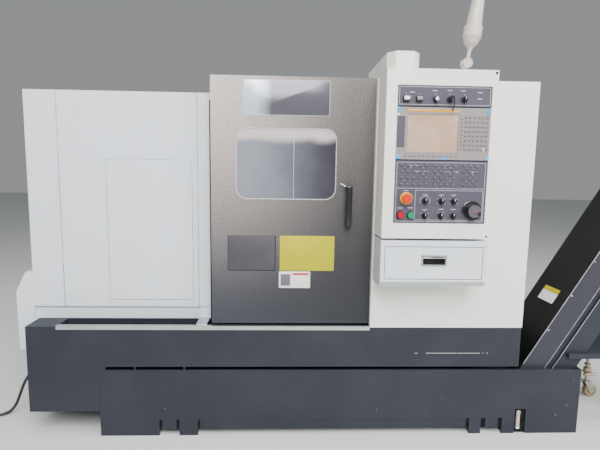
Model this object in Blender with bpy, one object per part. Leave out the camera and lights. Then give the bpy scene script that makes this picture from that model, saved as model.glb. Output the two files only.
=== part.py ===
# CNC turning lathe with a slant bed, a sliding front door, an operator panel and a chip conveyor.
# Metres, Z up. X runs along the spindle, Y runs from the front to the back.
# The frame below starts at the left front corner of the base, and the root empty then puts the
# origin on the floor under the middle skid of the coolant tank.
import math

import bmesh
import bpy
from mathutils import Matrix, Vector

for old in list(bpy.data.objects):
    bpy.data.objects.remove(old, do_unlink=True)

# Common fits
SEAT = 0.0003
SLIDE_FIT = 0.001
SHAFT_FIT = 0.0006
STEM_FIT = 0.0004
OVERRUN = 0.02
SHEET = 0.003
SMALL_SIDES = 16
MEDIUM_SIDES = 24
LARGE_SIDES = 40

# Base
BASE_LENGTH = 2.268
BASE_DEPTH = 1.25
BASE_TOP = 0.524
BASE_LEDGE = 0.335
PEDESTAL_BOTTOM = 0.12
LEFT_PEDESTAL_WIDTH = 0.30
RIGHT_PEDESTAL_WIDTH = 0.36
RIGHT_PEDESTAL_FRONT = 0.66
TROUGH_LEFT = 0.136
TROUGH_FRONT = 0.02
TROUGH_DEPTH = 0.05
CHIP_HOLE_LEFT = 1.10
CHIP_HOLE_END = 0.248
CHIP_HOLE_FRONT = 0.14
CHIP_HOLE_BACK = 0.40
POCKET_COUNT = 4
POCKET_RIB = 0.030
POCKET_ROOF = 0.035
RIB_FRONT = 0.45
RIB_BACK = 1.22
FOOT_RADIUS = 0.055
FOOT_PAD_HEIGHT = 0.022
FOOT_STEM_RADIUS = 0.018
FOOT_INSET = 0.15
FOOT_FRONT_INSET = 0.30
FOOT_BACK_INSET = 0.15

# Cable gland on the left face of the base
GLAND_Y = 0.20
GLAND_Z = 0.235
GLAND_RADIUS = 0.015
GLAND_NOSE_RADIUS = 0.011
GLAND_LENGTH = 0.030
GLAND_BODY_SHARE = 0.55

# Coolant tank under the front of the base
TANK_LEFT = 0.318
TANK_REACH = 0.308
TANK_TOP = 0.319
TANK_DEPTH = 0.62
TANK_FRONT_GAP = 0.006
TANK_FLOOR = 0.03
APRON_THICKNESS = 0.009
SKIRT_HEIGHT = 0.076
SKIRT_RECESS = 0.003
SLOT_HEIGHT = 0.078
SKID_WIDTH = 0.08
SKID_DEPTH = 0.05
# Ends of the cut-outs along the lower edge of the apron, from its left end, as shares of its length
LEFT_NOTCH_SHARES = (0.119, 0.160)
LEFT_TAB_SHARES = (0.125, 0.154)
LEFT_SLOT_SHARES = (0.1975, 0.202)
RIGHT_SLOT_SHARES = (0.7595, 0.7665)
RIGHT_NOTCH_SHARES = (0.7915, 0.8365)
RIGHT_TAB_SHARES = (0.8007, 0.8277)
GAUGE_SLOT_SHARES = (0.8640, 0.8870)
GAUGE_SLOT_HEIGHT = 0.122

# Slant bed: the slope starts at BED_TOE and rises backwards
BED_LEFT = 0.830
BED_END = 0.068
BED_TOE_Y = 0.50
BED_TOE_Z = 0.72
BED_ANGLE = math.radians(45)
BED_SLOPE_LENGTH = 0.72
BED_BACK_Y = 1.14
WAY_HEIGHT = 0.030
WAY_WIDTH = 0.055
LOWER_WAY_STARTS = (0.010, 0.190)
UPPER_WAY_STARTS = (0.310, 0.640)

# Spindle line
SPINDLE_Y = 0.45
SPINDLE_Z = 1.05
HEAD_LEFT = 0.30
HEAD_RIGHT = 0.795
HEAD_FRONT = 0.24
HEAD_BACK = 0.86
HEAD_TOP = 1.25
HEAD_SHOULDER = 0.90
HEAD_CHAMFER = 0.12
SPINDLE_RADIUS = 0.065
SPINDLE_BORE = 0.028
PULLEY_LEFT = 0.15
PULLEY_WIDTH = 0.09
PULLEY_RADIUS = 0.11
PULLEY_GROOVE = 0.008
PULLEY_GROOVES = 4
NOSE_HOLE_RADIUS = 0.085
CHUCK_RADIUS = 0.105
CHUCK_LEFT = 0.826
CHUCK_LENGTH = 0.095
CHUCK_EDGE = 0.008
CHUCK_BORE = 0.033
JAW_INNER = 0.040
JAW_LENGTH = 0.058
JAW_WIDTH = 0.034
JAW_HEIGHT = 0.044
JAW_STEP_SHARES = (0.33, 0.66)
JAW_COUNT = 3

# Carriage, cross slide and turret, in the slope's own frame
CARRIAGE_SHARE = 0.430657
CARRIAGE_WIDTH = 0.34
CARRIAGE_START = 0.285
CARRIAGE_END = 0.715
CARRIAGE_THICKNESS = 0.050
CROSS_INSET = 0.03
CROSS_START = 0.435
CROSS_END = 0.700
CROSS_PLATE = 0.035
TURRET_HOUSING_START = 0.465
TURRET_HOUSING_END = 0.690
TURRET_HOUSING_OVER = 0.11
TURRET_CHAMFER = 0.05
TURRET_REACH = 0.380
TURRET_THICKNESS = 0.075
TURRET_RADIUS = 0.165
TURRET_STATIONS = 12
TURRET_SLOT_DEPTH = 0.014
TURRET_SLOT_SHARE = 0.56
TURRET_HUB_RADIUS = 0.06
TURRET_HUB_LENGTH = 0.014

# Tailstock on the lower ways
TAIL_SHARE = 0.751825
TAIL_LENGTH = 0.26
TAIL_START = -0.005
TAIL_END = 0.262
TAIL_PLATE = 0.045
TAIL_NECK_SHARES = (0.30, 0.75)
TAIL_BARREL_RADIUS = 0.062
QUILL_RADIUS = 0.036
QUILL_OUT = 0.055
QUILL_TIP = 0.035
QUILL_TIP_RADIUS = 0.002
QUILL_BODY = 0.24

# White sheet-metal enclosure
COVER_FRONT = 0.118
COVER_BACK = 1.20
LEFT_COVER_OVERHANG = 0.0173
LEFT_COVER_RIGHT = 0.8095
LEFT_COVER_TOP = 1.580
BAND_TOP = 0.583
BAND_RECESS = 0.006
POST_LEFT = 0.756
SEAM_X = 0.127
SEAM_WIDTH = 0.002
SEAM_DEPTH = 0.0015
ACCESS_LEFT = 0.340
ACCESS_RIGHT = 0.728
ACCESS_BOTTOM = 0.620
ACCESS_TOP = 1.277
ACCESS_CORNER = 0.010
ACCESS_THICKNESS = 0.002
RIGHT_COVER_LEFT = 1.556
RIGHT_COVER_OVERHANG = 0.003
RIGHT_COVER_TOP = 1.637
ROOF_THICKNESS = 0.03
REAR_DEPTH = 0.20
REAR_TOP = 1.56
REAR_CHAMFER = 0.10
REAR_FRAME = 0.03
LOUVRE_COUNT = 7
LOUVRE_LENGTH = 0.34
LOUVRE_HEIGHT = 0.010
LOUVRE_PITCH = 0.032
LOUVRE_DEPTH = 0.012
LOUVRE_LEFT = 0.35
LOUVRE_BOTTOM = 0.75
END_COVER_FRONT = 0.12
END_COVER_BACK = 1.02
END_COVER_LEFT = 0.098
END_COVER_TOP = 0.748
END_COVER_BOTTOM = 0.371
END_COVER_SLOPE_WIDTH = 0.047
END_COVER_SLOPE_HEIGHT = 0.093

# Door, its rail and its sill
DOOR_LEFT = 0.829
DOOR_FRONT = 0.030
DOOR_DEPTH = 0.045
DOOR_BOTTOM = 0.533
DOOR_TOP = 1.643
DOOR_SHEET = 0.0025
DOOR_RIM = 0.012
WINDOW_LEFT = 0.940
WINDOW_RIGHT = 1.386
WINDOW_BOTTOM = 1.108
WINDOW_TOP = 1.420
WINDOW_CORNER = 0.050
WINDOW_RIM = 0.016
GLASS_THICKNESS = 0.008
GLASS_RECESS = 0.0015
HANDLE_X = 1.4485
HANDLE_BOTTOM = 0.985
HANDLE_TOP = 1.187
HANDLE_WIDTH = 0.017
HANDLE_STANDOFF = 0.042
HANDLE_THICKNESS = 0.014
HANDLE_ARC_STEPS = 5
RAIL_LEFT = 0.10
RAIL_Y = 0.20
RAIL_WIDTH = 0.03
RAIL_HEIGHT = 0.012
HANGER_THICKNESS = 0.008
HANGER_LIP = 0.012
SILL_HEIGHT = 0.018
SILL_SHEET = 0.0015
SILL_LIP = 0.018
SILL_TOP = 0.529

# Operator panel housing
PANEL_LEFT = 1.560
PANEL_RIGHT = 2.0126
PANEL_BOTTOM = 0.963
PANEL_TOP = 1.648
PANEL_REACH = 0.154
POCKET_LEFT = 1.605
POCKET_RIGHT = 1.990
POCKET_BOTTOM = 1.027
POCKET_TOP = 1.584
POCKET_DEPTH = 0.060
PLATE_THICKNESS = 0.006
PLATE_RECESS = 0.0015
PLATE_GAP = 0.004
SWITCH_PLATE_HEIGHT = 0.082
DISPLAY_HEIGHT = 0.209
DISPLAY_PROUD = 0.002
SCREEN_LEFT = 1.6515
SCREEN_RIGHT = 1.859
SCREEN_BOTTOM = 1.3185
SCREEN_TOP = 1.471
SCREEN_RECESS = 0.003
SCREEN_THICKNESS = 0.002
FLAP_LEFT = 1.6085
FLAP_WIDTH = 0.030
FLAP_BOTTOM = 1.338
FLAP_TOP = 1.460
FLAP_THICKNESS = 0.0022
FLAP_POCKET = 0.0028
KEY_RISE = 0.0012
SOFT_KEY_COUNT = 12
SOFT_KEY_SIZE = 0.009
SOFT_KEY_ROW_SHARES = (0.1085, 0.6535)
SOFT_KEY_LIFT_SHARE = 0.072
SIDE_KEY_COUNT = 9
MDI_COLUMNS = 6
MDI_ROWS = 8
MDI_KEY = 0.0115
MDI_LEFT_SHARE = 0.7347
MDI_RIGHT_SHARE = 0.9612
MDI_LOW_SHARE = 0.211
MDI_HIGH_SHARE = 0.823
SIDE_KEY_SHARE = 0.694
KEY_GROUPS = (5, 4, 3)
KEY_GROUP_STARTS_SHARE = (0.075, 0.435, 0.745)
KEY_PITCH_SHARE = 0.0665
KEY_ROWS = 4
KEY_ROW_LOW_SHARE = 0.625
KEY_ROW_HIGH_SHARE = 0.93
PANEL_KEY = 0.012

# Controls on the two plates: centres in the machine's frame
CONTROL_EDGE = 0.0015
STEM_DEPTH = 0.020
BUTTON_STEM = 0.006
TOP_ROW_Z = 1.530
PUSH_X = (1.6405, 1.6927)
PUSH_WIDTH = 0.026
PUSH_HEIGHT = 0.020
PUSH_RISE = 0.010
PUSH_TRAVEL = 0.003
TOP_SELECTOR_X = (1.7605, 1.818, 1.877)
LOWER_BUTTON_Z = 1.0605
STOP_X = 1.635
START_X = 1.678
ROUND_BUTTON_RADIUS = 0.0135
ROUND_BUTTON_RISE = 0.009
EMERGENCY_X = 1.6562
EMERGENCY_Z = 1.130
EMERGENCY_RADIUS = 0.019
EMERGENCY_RISE = 0.020
EMERGENCY_NECK = 0.011
EMERGENCY_TRAVEL = 0.005
COLLAR_RADIUS = 0.0245
COLLAR_HEIGHT = 0.006
KNOB_X = (1.736, 1.804, 1.8555)
KNOB_Z = (1.120, 1.059)
KNOB_RADIUS = 0.0125
KNOB_RISE = 0.007
KNOB_BAR_RISE = 0.011
KNOB_BAR_WIDTH = 0.008
KNOB_STEM = 0.005
HANDWHEEL_X = 1.9324
HANDWHEEL_Z = 1.0816
HANDWHEEL_RADIUS = 0.040
HANDWHEEL_RISE = 0.024
HANDWHEEL_STEP = 0.010
HANDWHEEL_GRIP_SHARE = 0.72
CRANK_RADIUS = 0.006
CRANK_RISE = 0.018
CRANK_SHARE = 0.66

# Drawer unit below the operator panel
DRAWER_UNIT_RIGHT = 2.012
DRAWER_UNIT_TOP = 0.9535
DRAWER_UNIT_BOTTOM = 0.779
DRAWER_UNIT_DROP = 0.025
DRAWER_UNIT_ROLL = 0.027
DRAWER_LEFT = 1.578
DRAWER_RIGHT = 1.993
DRAWER_BOTTOM = 0.791
DRAWER_TOP = 0.928
DRAWER_CAVITY_DEPTH = 0.144
DRAWER_FACE = 0.003
DRAWER_WALL = 0.0012
DRAWER_BACK_GAP = 0.004
DRAWER_SIDE_HEIGHT = 0.095
PULL_LEFT = 1.737
PULL_RIGHT = 1.8355
PULL_BOTTOM = 0.851
PULL_TOP = 0.888
PULL_FLANGE = 0.005
PULL_PROUD = 0.002
PULL_DEPTH = 0.016
PULL_WALL = 0.0015

# Wiring duct on the roof
DUCT_LEFT = 1.587
DUCT_RIGHT = 1.726
DUCT_FRONT = 0.050
DUCT_BACK = 0.40
DUCT_TOP = 1.741
DUCT_CHAMFER_WIDTH = 0.030
DUCT_CHAMFER_DEPTH = 0.038

# Signal lamp
LAMP_X = 1.917
LAMP_Y = 0.050
LAMP_FOOT_RADIUS = 0.020
LAMP_FOOT_HEIGHT = 0.008
LAMP_POST_WIDTH = 0.016
LAMP_PIVOT_HEIGHT = 0.048
LAMP_KNUCKLE_RADIUS = 0.021
LAMP_KNUCKLE_WIDTH = 0.016
LAMP_LEAN = math.radians(7)
LAMP_NECK_RADIUS = 0.012
LAMP_NECK_LENGTH = 0.050
LAMP_CUP_RADIUS = 0.038
LAMP_CUP_LENGTH = 0.085
LAMP_LENS_RADIUS = 0.0325
LAMP_LENS_TOP_RADIUS = 0.024
LAMP_LENS_LENGTH = 0.133
LAMP_DOME = 0.008

# Chip conveyor behind the tank
CONVEYOR_FRONT = 0.03
CONVEYOR_WIDTH = 0.272
CONVEYOR_ANGLE = math.radians(59.4)
CONVEYOR_CLEARANCE = 0.028
CONVEYOR_TOP_Z = 0.319
CONVEYOR_THICKNESS = 0.235
CONVEYOR_INSET = 0.010
COVER_FLANGE = 0.105
SIDE_PLATE_START = 0.137
COVER_LOWER_END = 0.290
RUN_LEFT = 1.10
RUN_TOP = 0.270
RUN_FLOOR = 0.050
RUNNER_WIDTH = 0.05
INLET_INSET = 0.03
INLET_FLOOR = 0.12
INLET_END = 0.168
HEAD_HEIGHT = 1.360
HEAD_LENGTH = 0.44
HEAD_DROP = 0.24
CHUTE_WIDTH = 0.20
CHUTE_DROP = 0.10
CHUTE_WALL = 0.006
MOTOR_RADIUS = 0.055
MOTOR_LENGTH = 0.16
MOTOR_INSET = 0.12
MOTOR_LIFT = 0.13

# Conveyor support and casters
SUPPORT_START = 0.247
SUPPORT_FRONT = 0.010
SUPPORT_BACK = 0.400
SUPPORT_LENGTH = 0.485
SUPPORT_TOP = 0.392
SUPPORT_DEPTH = 0.025
SUPPORT_CASTER_INSET = 0.135
CASTER_INSET = 0.040
WHEEL_RADIUS = 0.035
WHEEL_WIDTH = 0.028
WHEEL_BORE = 0.0062
FORK_PLATE = 0.003
FORK_GAP = 0.002
FORK_TRAIL = 0.022
FORK_CROWN = 0.090
FORK_HALF_LENGTH = 0.018
CASTER_STEM_RADIUS = 0.008
CASTER_SEAT_RADIUS = 0.022

# Supply cable: its free stretch, its coil and its plug
CABLE_RADIUS = 0.007
CABLE_SAMPLES = 34
CABLE_ROUTE = (
    (-0.055, 0.200, 0.234),
    (-0.090, 0.200, 0.222),
    (-0.122, 0.200, 0.196),
    (-0.148, 0.200, 0.155),
    (-0.168, 0.199, 0.108),
    (-0.186, 0.196, 0.062),
    (-0.204, 0.188, 0.028),
    (-0.226, 0.177, 0.011),
    (-0.256, 0.166, 0.007),
    (-0.296, 0.156, 0.007),
    (-0.328, 0.151, 0.007),
)
COIL_X = -0.450
COIL_Y = 0.150
COIL_MEAN_RADIUS = 0.077
COIL_BAND = 0.028
COIL_HEIGHT = 0.042
PLUG_LENGTH = 0.120
PLUG_RADIUS = 0.030
PLUG_NECK_RADIUS = 0.010

# Values worked out from the sizes above
PANEL_FRONT = -PANEL_REACH
PLATE_FRONT = PANEL_FRONT + PLATE_RECESS
PLATE_BACK = PLATE_FRONT + PLATE_THICKNESS
DISPLAY_FRONT = PLATE_FRONT - DISPLAY_PROUD
DISPLAY_TOP = POCKET_TOP - SEAT - SWITCH_PLATE_HEIGHT - PLATE_GAP
DISPLAY_BOTTOM = DISPLAY_TOP - DISPLAY_HEIGHT
KEY_PANEL_TOP = DISPLAY_BOTTOM - PLATE_GAP
KEY_PANEL_BOTTOM = POCKET_BOTTOM + SEAT
DOOR_RIGHT = RIGHT_COVER_LEFT - SLIDE_FIT
DOOR_BACK = DOOR_FRONT + DOOR_DEPTH
RIGHT_COVER_RIGHT = BASE_LENGTH + RIGHT_COVER_OVERHANG
TANK_RIGHT = BASE_LENGTH + TANK_REACH
TANK_LENGTH = TANK_RIGHT - TANK_LEFT
CHIP_HOLE_RIGHT = BASE_LENGTH - CHIP_HOLE_END
BED_RIGHT = BASE_LENGTH - BED_END
CARRIAGE_LEFT = BED_LEFT + (BED_RIGHT - BED_LEFT) * CARRIAGE_SHARE
TAIL_LEFT = BED_LEFT + (BED_RIGHT - BED_LEFT) * TAIL_SHARE
CONVEYOR_TOP_X = BASE_LENGTH + CONVEYOR_CLEARANCE
INLET_RIGHT = BASE_LENGTH - INLET_END
SUPPORT_LEFT = BASE_LENGTH + SUPPORT_START
SUPPORT_RIGHT = SUPPORT_LEFT + SUPPORT_LENGTH
SUPPORT_CASTER_X = SUPPORT_RIGHT - SUPPORT_CASTER_INSET
CONVEYOR_BACK = CONVEYOR_FRONT + CONVEYOR_WIDTH
COVER_BOTTOM = BASE_TOP + SEAT
RAIL_TOP = LEFT_COVER_TOP + SEAT + RAIL_HEIGHT
BED_LONG = math.cos(BED_ANGLE)
BED_RISE = math.sin(BED_ANGLE)
WAY_TOP = WAY_HEIGHT
CARRIAGE_LOW = WAY_TOP + SEAT
CARRIAGE_HIGH = CARRIAGE_LOW + CARRIAGE_THICKNESS
CROSS_LOW = CARRIAGE_HIGH + SEAT


def bed_frame(y, z):
    """Distance along the slope and off it, for a point of the machine."""
    dy = y - BED_TOE_Y
    dz = z - BED_TOE_Z
    return dy * BED_LONG + dz * BED_RISE, dz * BED_LONG - dy * BED_RISE


def on_bed(along, off):
    """Point (y, z) that lies along the slope and off it."""
    return (BED_TOE_Y + along * BED_LONG - off * BED_RISE,
            BED_TOE_Z + along * BED_RISE + off * BED_LONG)


SPINDLE_ALONG, SPINDLE_OFF = bed_frame(SPINDLE_Y, SPINDLE_Z)
TURRET_ALONG = SPINDLE_ALONG + TURRET_REACH
TURRET_Y, TURRET_Z = on_bed(TURRET_ALONG, SPINDLE_OFF)
TURRET_RIGHT = CARRIAGE_LEFT
TURRET_LEFT = TURRET_RIGHT - TURRET_THICKNESS

root = bpy.data.objects.new("machine", None)
bpy.context.scene.collection.objects.link(root)
root.location = (-TANK_LEFT - TANK_LENGTH / 2, -TANK_DEPTH / 2, 0)

# Finishes: colour, roughness, metallic
WHITE_PAINT = ((0.80, 0.81, 0.82), 0.38, 0.0)
DARK_PAINT = ((0.060, 0.063, 0.078), 0.45, 0.0)
DOOR_PAINT = ((0.105, 0.100, 0.110), 0.40, 0.0)
PLATE_PAINT = ((0.115, 0.108, 0.130), 0.50, 0.0)
BEZEL_GREY = ((0.46, 0.44, 0.43), 0.45, 0.0)
CAST_IRON = ((0.22, 0.23, 0.24), 0.55, 0.3)
STEEL = ((0.62, 0.62, 0.62), 0.28, 1.0)
STAINLESS = ((0.70, 0.68, 0.66), 0.32, 1.0)
BLACK_PLASTIC = ((0.012, 0.012, 0.013), 0.35, 0.0)
GLASS = ((0.42, 0.40, 0.42), 0.06, 0.0)
SCREEN_FILM = ((0.50, 0.42, 0.37), 0.25, 0.0)
CONVEYOR_SHADE = ((0.030, 0.033, 0.033), 0.45, 0.0)
RED_PLASTIC = ((0.62, 0.045, 0.035), 0.35, 0.0)
GREEN_PLASTIC = ((0.02, 0.36, 0.22), 0.35, 0.0)
PALE_PLASTIC = ((0.72, 0.72, 0.72), 0.35, 0.0)
URETHANE = ((0.42, 0.20, 0.07), 0.50, 0.0)
CABLE_BLACK = ((0.010, 0.010, 0.010), 0.55, 0.0)


def painted(obj, finish):
    colour, roughness, metallic = finish
    material = bpy.data.materials.new(obj.name)
    material.use_nodes = True
    shader = material.node_tree.nodes["Principled BSDF"]
    shader.inputs["Base Color"].default_value = (*colour, 1.0)
    shader.inputs["Roughness"].default_value = roughness
    shader.inputs["Metallic"].default_value = metallic
    obj.data.materials.append(material)


def from_bmesh(name, mesh, smooth=False):
    bmesh.ops.recalc_face_normals(mesh, faces=mesh.faces)
    data = bpy.data.meshes.new(name)
    mesh.to_mesh(data)
    mesh.free()
    if smooth:
        data.shade_smooth()
        data.set_sharp_from_angle(angle=math.radians(35))
    obj = bpy.data.objects.new(name, data)
    bpy.context.scene.collection.objects.link(obj)
    obj.parent = root
    return obj


def placed(axis, across, along):
    """Point of the machine from a point of an outline and its place along the axis."""
    if axis == "X":
        return (along, across[0], across[1])
    if axis == "Y":
        return (across[0], along, across[1])
    return (across[0], across[1], along)


def add_prism(mesh, outline, axis, low, high):
    ends = []
    for along in (low, high):
        ends.append([mesh.verts.new(placed(axis, point, along)) for point in outline])
    mesh.faces.new(ends[0])
    mesh.faces.new(reversed(ends[1]))
    count = len(outline)
    for i in range(count):
        j = (i + 1) % count
        mesh.faces.new((ends[0][i], ends[1][i], ends[1][j], ends[0][j]))


def prism(name, outline, axis, low, high):
    mesh = bmesh.new()
    add_prism(mesh, outline, axis, low, high)
    return from_bmesh(name, mesh)


def rectangle(a_low, b_low, a_high, b_high):
    return [(a_low, b_low), (a_high, b_low), (a_high, b_high), (a_low, b_high)]


def block(name, low, high):
    return prism(name, rectangle(low[0], low[1], high[0], high[1]), "Z", low[2], high[2])


def blocks(name, corners):
    """Several separate boxes in one mesh, for one cut or one union."""
    mesh = bmesh.new()
    for low, high in corners:
        add_prism(mesh, rectangle(low[0], low[1], high[0], high[1]), "Z", low[2], high[2])
    return from_bmesh(name, mesh)


def rounded(a_low, b_low, a_high, b_high, radius, steps=4):
    corners = ((a_high - radius, b_high - radius, 0), (a_low + radius, b_high - radius, 90),
               (a_low + radius, b_low + radius, 180), (a_high - radius, b_low + radius, 270))
    points = []
    for a, b, start in corners:
        for step in range(steps + 1):
            angle = math.radians(start + 90 * step / steps)
            points.append((a + radius * math.cos(angle), b + radius * math.sin(angle)))
    return points


def add_turned(mesh, profile, axis, centre, sides):
    """Solid of revolution: profile points are (radius, place along the axis)."""
    rings = []
    for radius, along in profile:
        if radius == 0:
            rings.append([mesh.verts.new(placed(axis, centre, along))])
            continue
        ring = []
        for i in range(sides):
            angle = 2 * math.pi * i / sides
            point = (centre[0] + radius * math.cos(angle), centre[1] + radius * math.sin(angle))
            ring.append(mesh.verts.new(placed(axis, point, along)))
        rings.append(ring)
    closed = profile[0][0] != 0
    last = len(rings) if closed else len(rings) - 1
    for k in range(last):
        here = rings[k]
        there = rings[(k + 1) % len(rings)]
        for i in range(sides):
            j = (i + 1) % sides
            if len(here) == 1:
                mesh.faces.new((here[0], there[i], there[j]))
            elif len(there) == 1:
                mesh.faces.new((here[i], there[0], here[j]))
            else:
                mesh.faces.new((here[i], there[i], there[j], here[j]))


def turned(name, profile, axis, centre, sides=MEDIUM_SIDES):
    mesh = bmesh.new()
    add_turned(mesh, profile, axis, centre, sides)
    return from_bmesh(name, mesh, smooth=True)


def rod(name, radius, axis, centre, low, high, sides=MEDIUM_SIDES):
    return turned(name, [(0, low), (radius, low), (radius, high), (0, high)], axis, centre, sides)


def use_tool(target, tool, operation):
    tool.hide_render = True
    tool.display_type = "WIRE"
    modifier = target.modifiers.new(tool.name, "BOOLEAN")
    modifier.operation = operation
    modifier.solver = "EXACT"
    modifier.object = tool


def cut(target, tool):
    use_tool(target, tool, "DIFFERENCE")


def join(target, tool):
    use_tool(target, tool, "UNION")


def pivot(obj, place):
    """Moves the object's origin to a place on its joint's axis, with its shape left where it is."""
    obj.data.transform(Matrix.Translation(-Vector(place)))
    obj.location = place
    return obj


def make_base():
    outline = [(0, PEDESTAL_BOTTOM), (LEFT_PEDESTAL_WIDTH, PEDESTAL_BOTTOM),
               (LEFT_PEDESTAL_WIDTH, BASE_LEDGE), (BASE_LENGTH, BASE_LEDGE),
               (BASE_LENGTH, BASE_TOP), (0, BASE_TOP)]
    base = prism("base", outline, "Y", 0, BASE_DEPTH)
    pedestal_left = BASE_LENGTH - RIGHT_PEDESTAL_WIDTH
    pedestal_top = (BASE_LEDGE + BASE_TOP) / 2
    join(base, block("right_pedestal_tool", (pedestal_left, RIGHT_PEDESTAL_FRONT, PEDESTAL_BOTTOM),
                     (BASE_LENGTH, BASE_DEPTH, pedestal_top)))
    first = LEFT_PEDESTAL_WIDTH + POCKET_RIB
    pitch = (pedestal_left - first) / POCKET_COUNT
    pockets = []
    for number in range(POCKET_COUNT):
        low = first + number * pitch
        pockets.append(((low, RIB_FRONT + POCKET_RIB, BASE_LEDGE - OVERRUN),
                        (low + pitch - POCKET_RIB, RIB_BACK, BASE_TOP - POCKET_ROOF)))
    cut(base, blocks("pocket_tool", pockets))
    feet = bmesh.new()
    lefts = (FOOT_INSET, BASE_LENGTH - FOOT_INSET)
    fronts = (FOOT_FRONT_INSET, RIGHT_PEDESTAL_FRONT + FOOT_BACK_INSET)
    for x, front in zip(lefts, fronts):
        for y in (front, BASE_DEPTH - FOOT_BACK_INSET):
            profile = [(0, 0), (FOOT_RADIUS, 0), (FOOT_RADIUS, FOOT_PAD_HEIGHT),
                       (FOOT_STEM_RADIUS, FOOT_PAD_HEIGHT * 2),
                       (FOOT_STEM_RADIUS, PEDESTAL_BOTTOM + OVERRUN), (0, PEDESTAL_BOTTOM + OVERRUN)]
            add_turned(feet, profile, "Z", (x, y), SMALL_SIDES)
    join(base, from_bmesh("feet_tool", feet))
    cut(base, block("trough_tool", (TROUGH_LEFT, TROUGH_FRONT, BASE_TOP - TROUGH_DEPTH),
                    (RIGHT_COVER_LEFT, COVER_FRONT, BASE_TOP + OVERRUN)))
    cut(base, block("chip_hole_tool", (CHIP_HOLE_LEFT, CHIP_HOLE_FRONT, BASE_LEDGE - OVERRUN),
                    (CHIP_HOLE_RIGHT, CHIP_HOLE_BACK, BASE_TOP + OVERRUN)))
    body_end = -GLAND_LENGTH * GLAND_BODY_SHARE
    gland = [(0, OVERRUN), (GLAND_RADIUS, OVERRUN), (GLAND_RADIUS, body_end),
             (GLAND_NOSE_RADIUS, -GLAND_LENGTH), (0, -GLAND_LENGTH)]
    join(base, turned("gland_tool", gland, "X", (GLAND_Y, GLAND_Z), SMALL_SIDES))
    painted(base, DARK_PAINT)


def share_x(share):
    return TANK_LEFT + TANK_LENGTH * share


def make_tank():
    left_notch = [share_x(share) for share in LEFT_NOTCH_SHARES]
    left_tab = [share_x(share) for share in LEFT_TAB_SHARES]
    left_slot = [share_x(share) for share in LEFT_SLOT_SHARES]
    right_slot = [share_x(share) for share in RIGHT_SLOT_SHARES]
    right_notch = [share_x(share) for share in RIGHT_NOTCH_SHARES]
    right_tab = [share_x(share) for share in RIGHT_TAB_SHARES]
    gauge_slot = [share_x(share) for share in GAUGE_SLOT_SHARES]
    outline = [(TANK_LEFT, 0)]
    for notch, tab in ((left_notch, left_tab), ((), ()), (right_notch, right_tab)):
        if not notch:
            outline += [(left_slot[0], 0), (left_slot[0], SLOT_HEIGHT), (left_slot[1], SLOT_HEIGHT),
                        (left_slot[1], TANK_FLOOR), (right_slot[0], TANK_FLOOR),
                        (right_slot[0], SLOT_HEIGHT), (right_slot[1], SLOT_HEIGHT), (right_slot[1], 0)]
            continue
        outline += [(notch[0], 0), (notch[0], SLOT_HEIGHT), (tab[0], SLOT_HEIGHT),
                    (tab[0], TANK_FLOOR), (tab[1], TANK_FLOOR), (tab[1], SLOT_HEIGHT),
                    (notch[1], SLOT_HEIGHT), (notch[1], 0)]
    outline += [(gauge_slot[0], 0), (gauge_slot[0], GAUGE_SLOT_HEIGHT),
                (gauge_slot[1], GAUGE_SLOT_HEIGHT), (gauge_slot[1], 0),
                (TANK_RIGHT, 0), (TANK_RIGHT, TANK_TOP), (TANK_LEFT, TANK_TOP)]
    tank = prism("coolant_tank", outline, "Y", 0, APRON_THICKNESS)
    cut(tank, block("skirt_tool", (left_slot[1], -OVERRUN, -OVERRUN),
                    (right_slot[0], SKIRT_RECESS, SKIRT_HEIGHT)))
    shell_front = TANK_FRONT_GAP
    join(tank, block("tank_body_tool", (TANK_LEFT, shell_front, TANK_FLOOR),
                     (TANK_RIGHT, TANK_DEPTH, TANK_TOP)))
    skids = []
    middle_y = TANK_DEPTH / 2
    lefts = (share_x(LEFT_TAB_SHARES[0]), TANK_LEFT + (TANK_LENGTH - SKID_WIDTH) / 2,
             share_x(RIGHT_TAB_SHARES[0]))
    for left in lefts:
        skids.append(((left, middle_y - SKID_DEPTH / 2, 0),
                      (left + SKID_WIDTH, middle_y + SKID_DEPTH / 2, TANK_FLOOR + SHEET / 2)))
    join(tank, blocks("tank_skid_tool", skids))
    front_wall = max(shell_front, APRON_THICKNESS) + SHEET
    cut(tank, block("tank_hollow_tool", (TANK_LEFT + SHEET, front_wall, TANK_FLOOR + SHEET),
                    (TANK_RIGHT - SHEET, TANK_DEPTH - SHEET, TANK_TOP + OVERRUN)))
    painted(tank, DARK_PAINT)


def make_bed():
    outline = [(BED_TOE_Y, COVER_BOTTOM), (BED_TOE_Y, BED_TOE_Z)]
    for start in LOWER_WAY_STARTS + UPPER_WAY_STARTS:
        end = start + WAY_WIDTH
        outline += [on_bed(start, 0), on_bed(start, WAY_HEIGHT), on_bed(end, WAY_HEIGHT), on_bed(end, 0)]
    outline += [on_bed(BED_SLOPE_LENGTH, 0), (BED_BACK_Y, on_bed(BED_SLOPE_LENGTH, 0)[1]),
                (BED_BACK_Y, COVER_BOTTOM)]
    bed = prism("slant_bed", outline, "X", BED_LEFT, BED_RIGHT)
    painted(bed, CAST_IRON)


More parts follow.
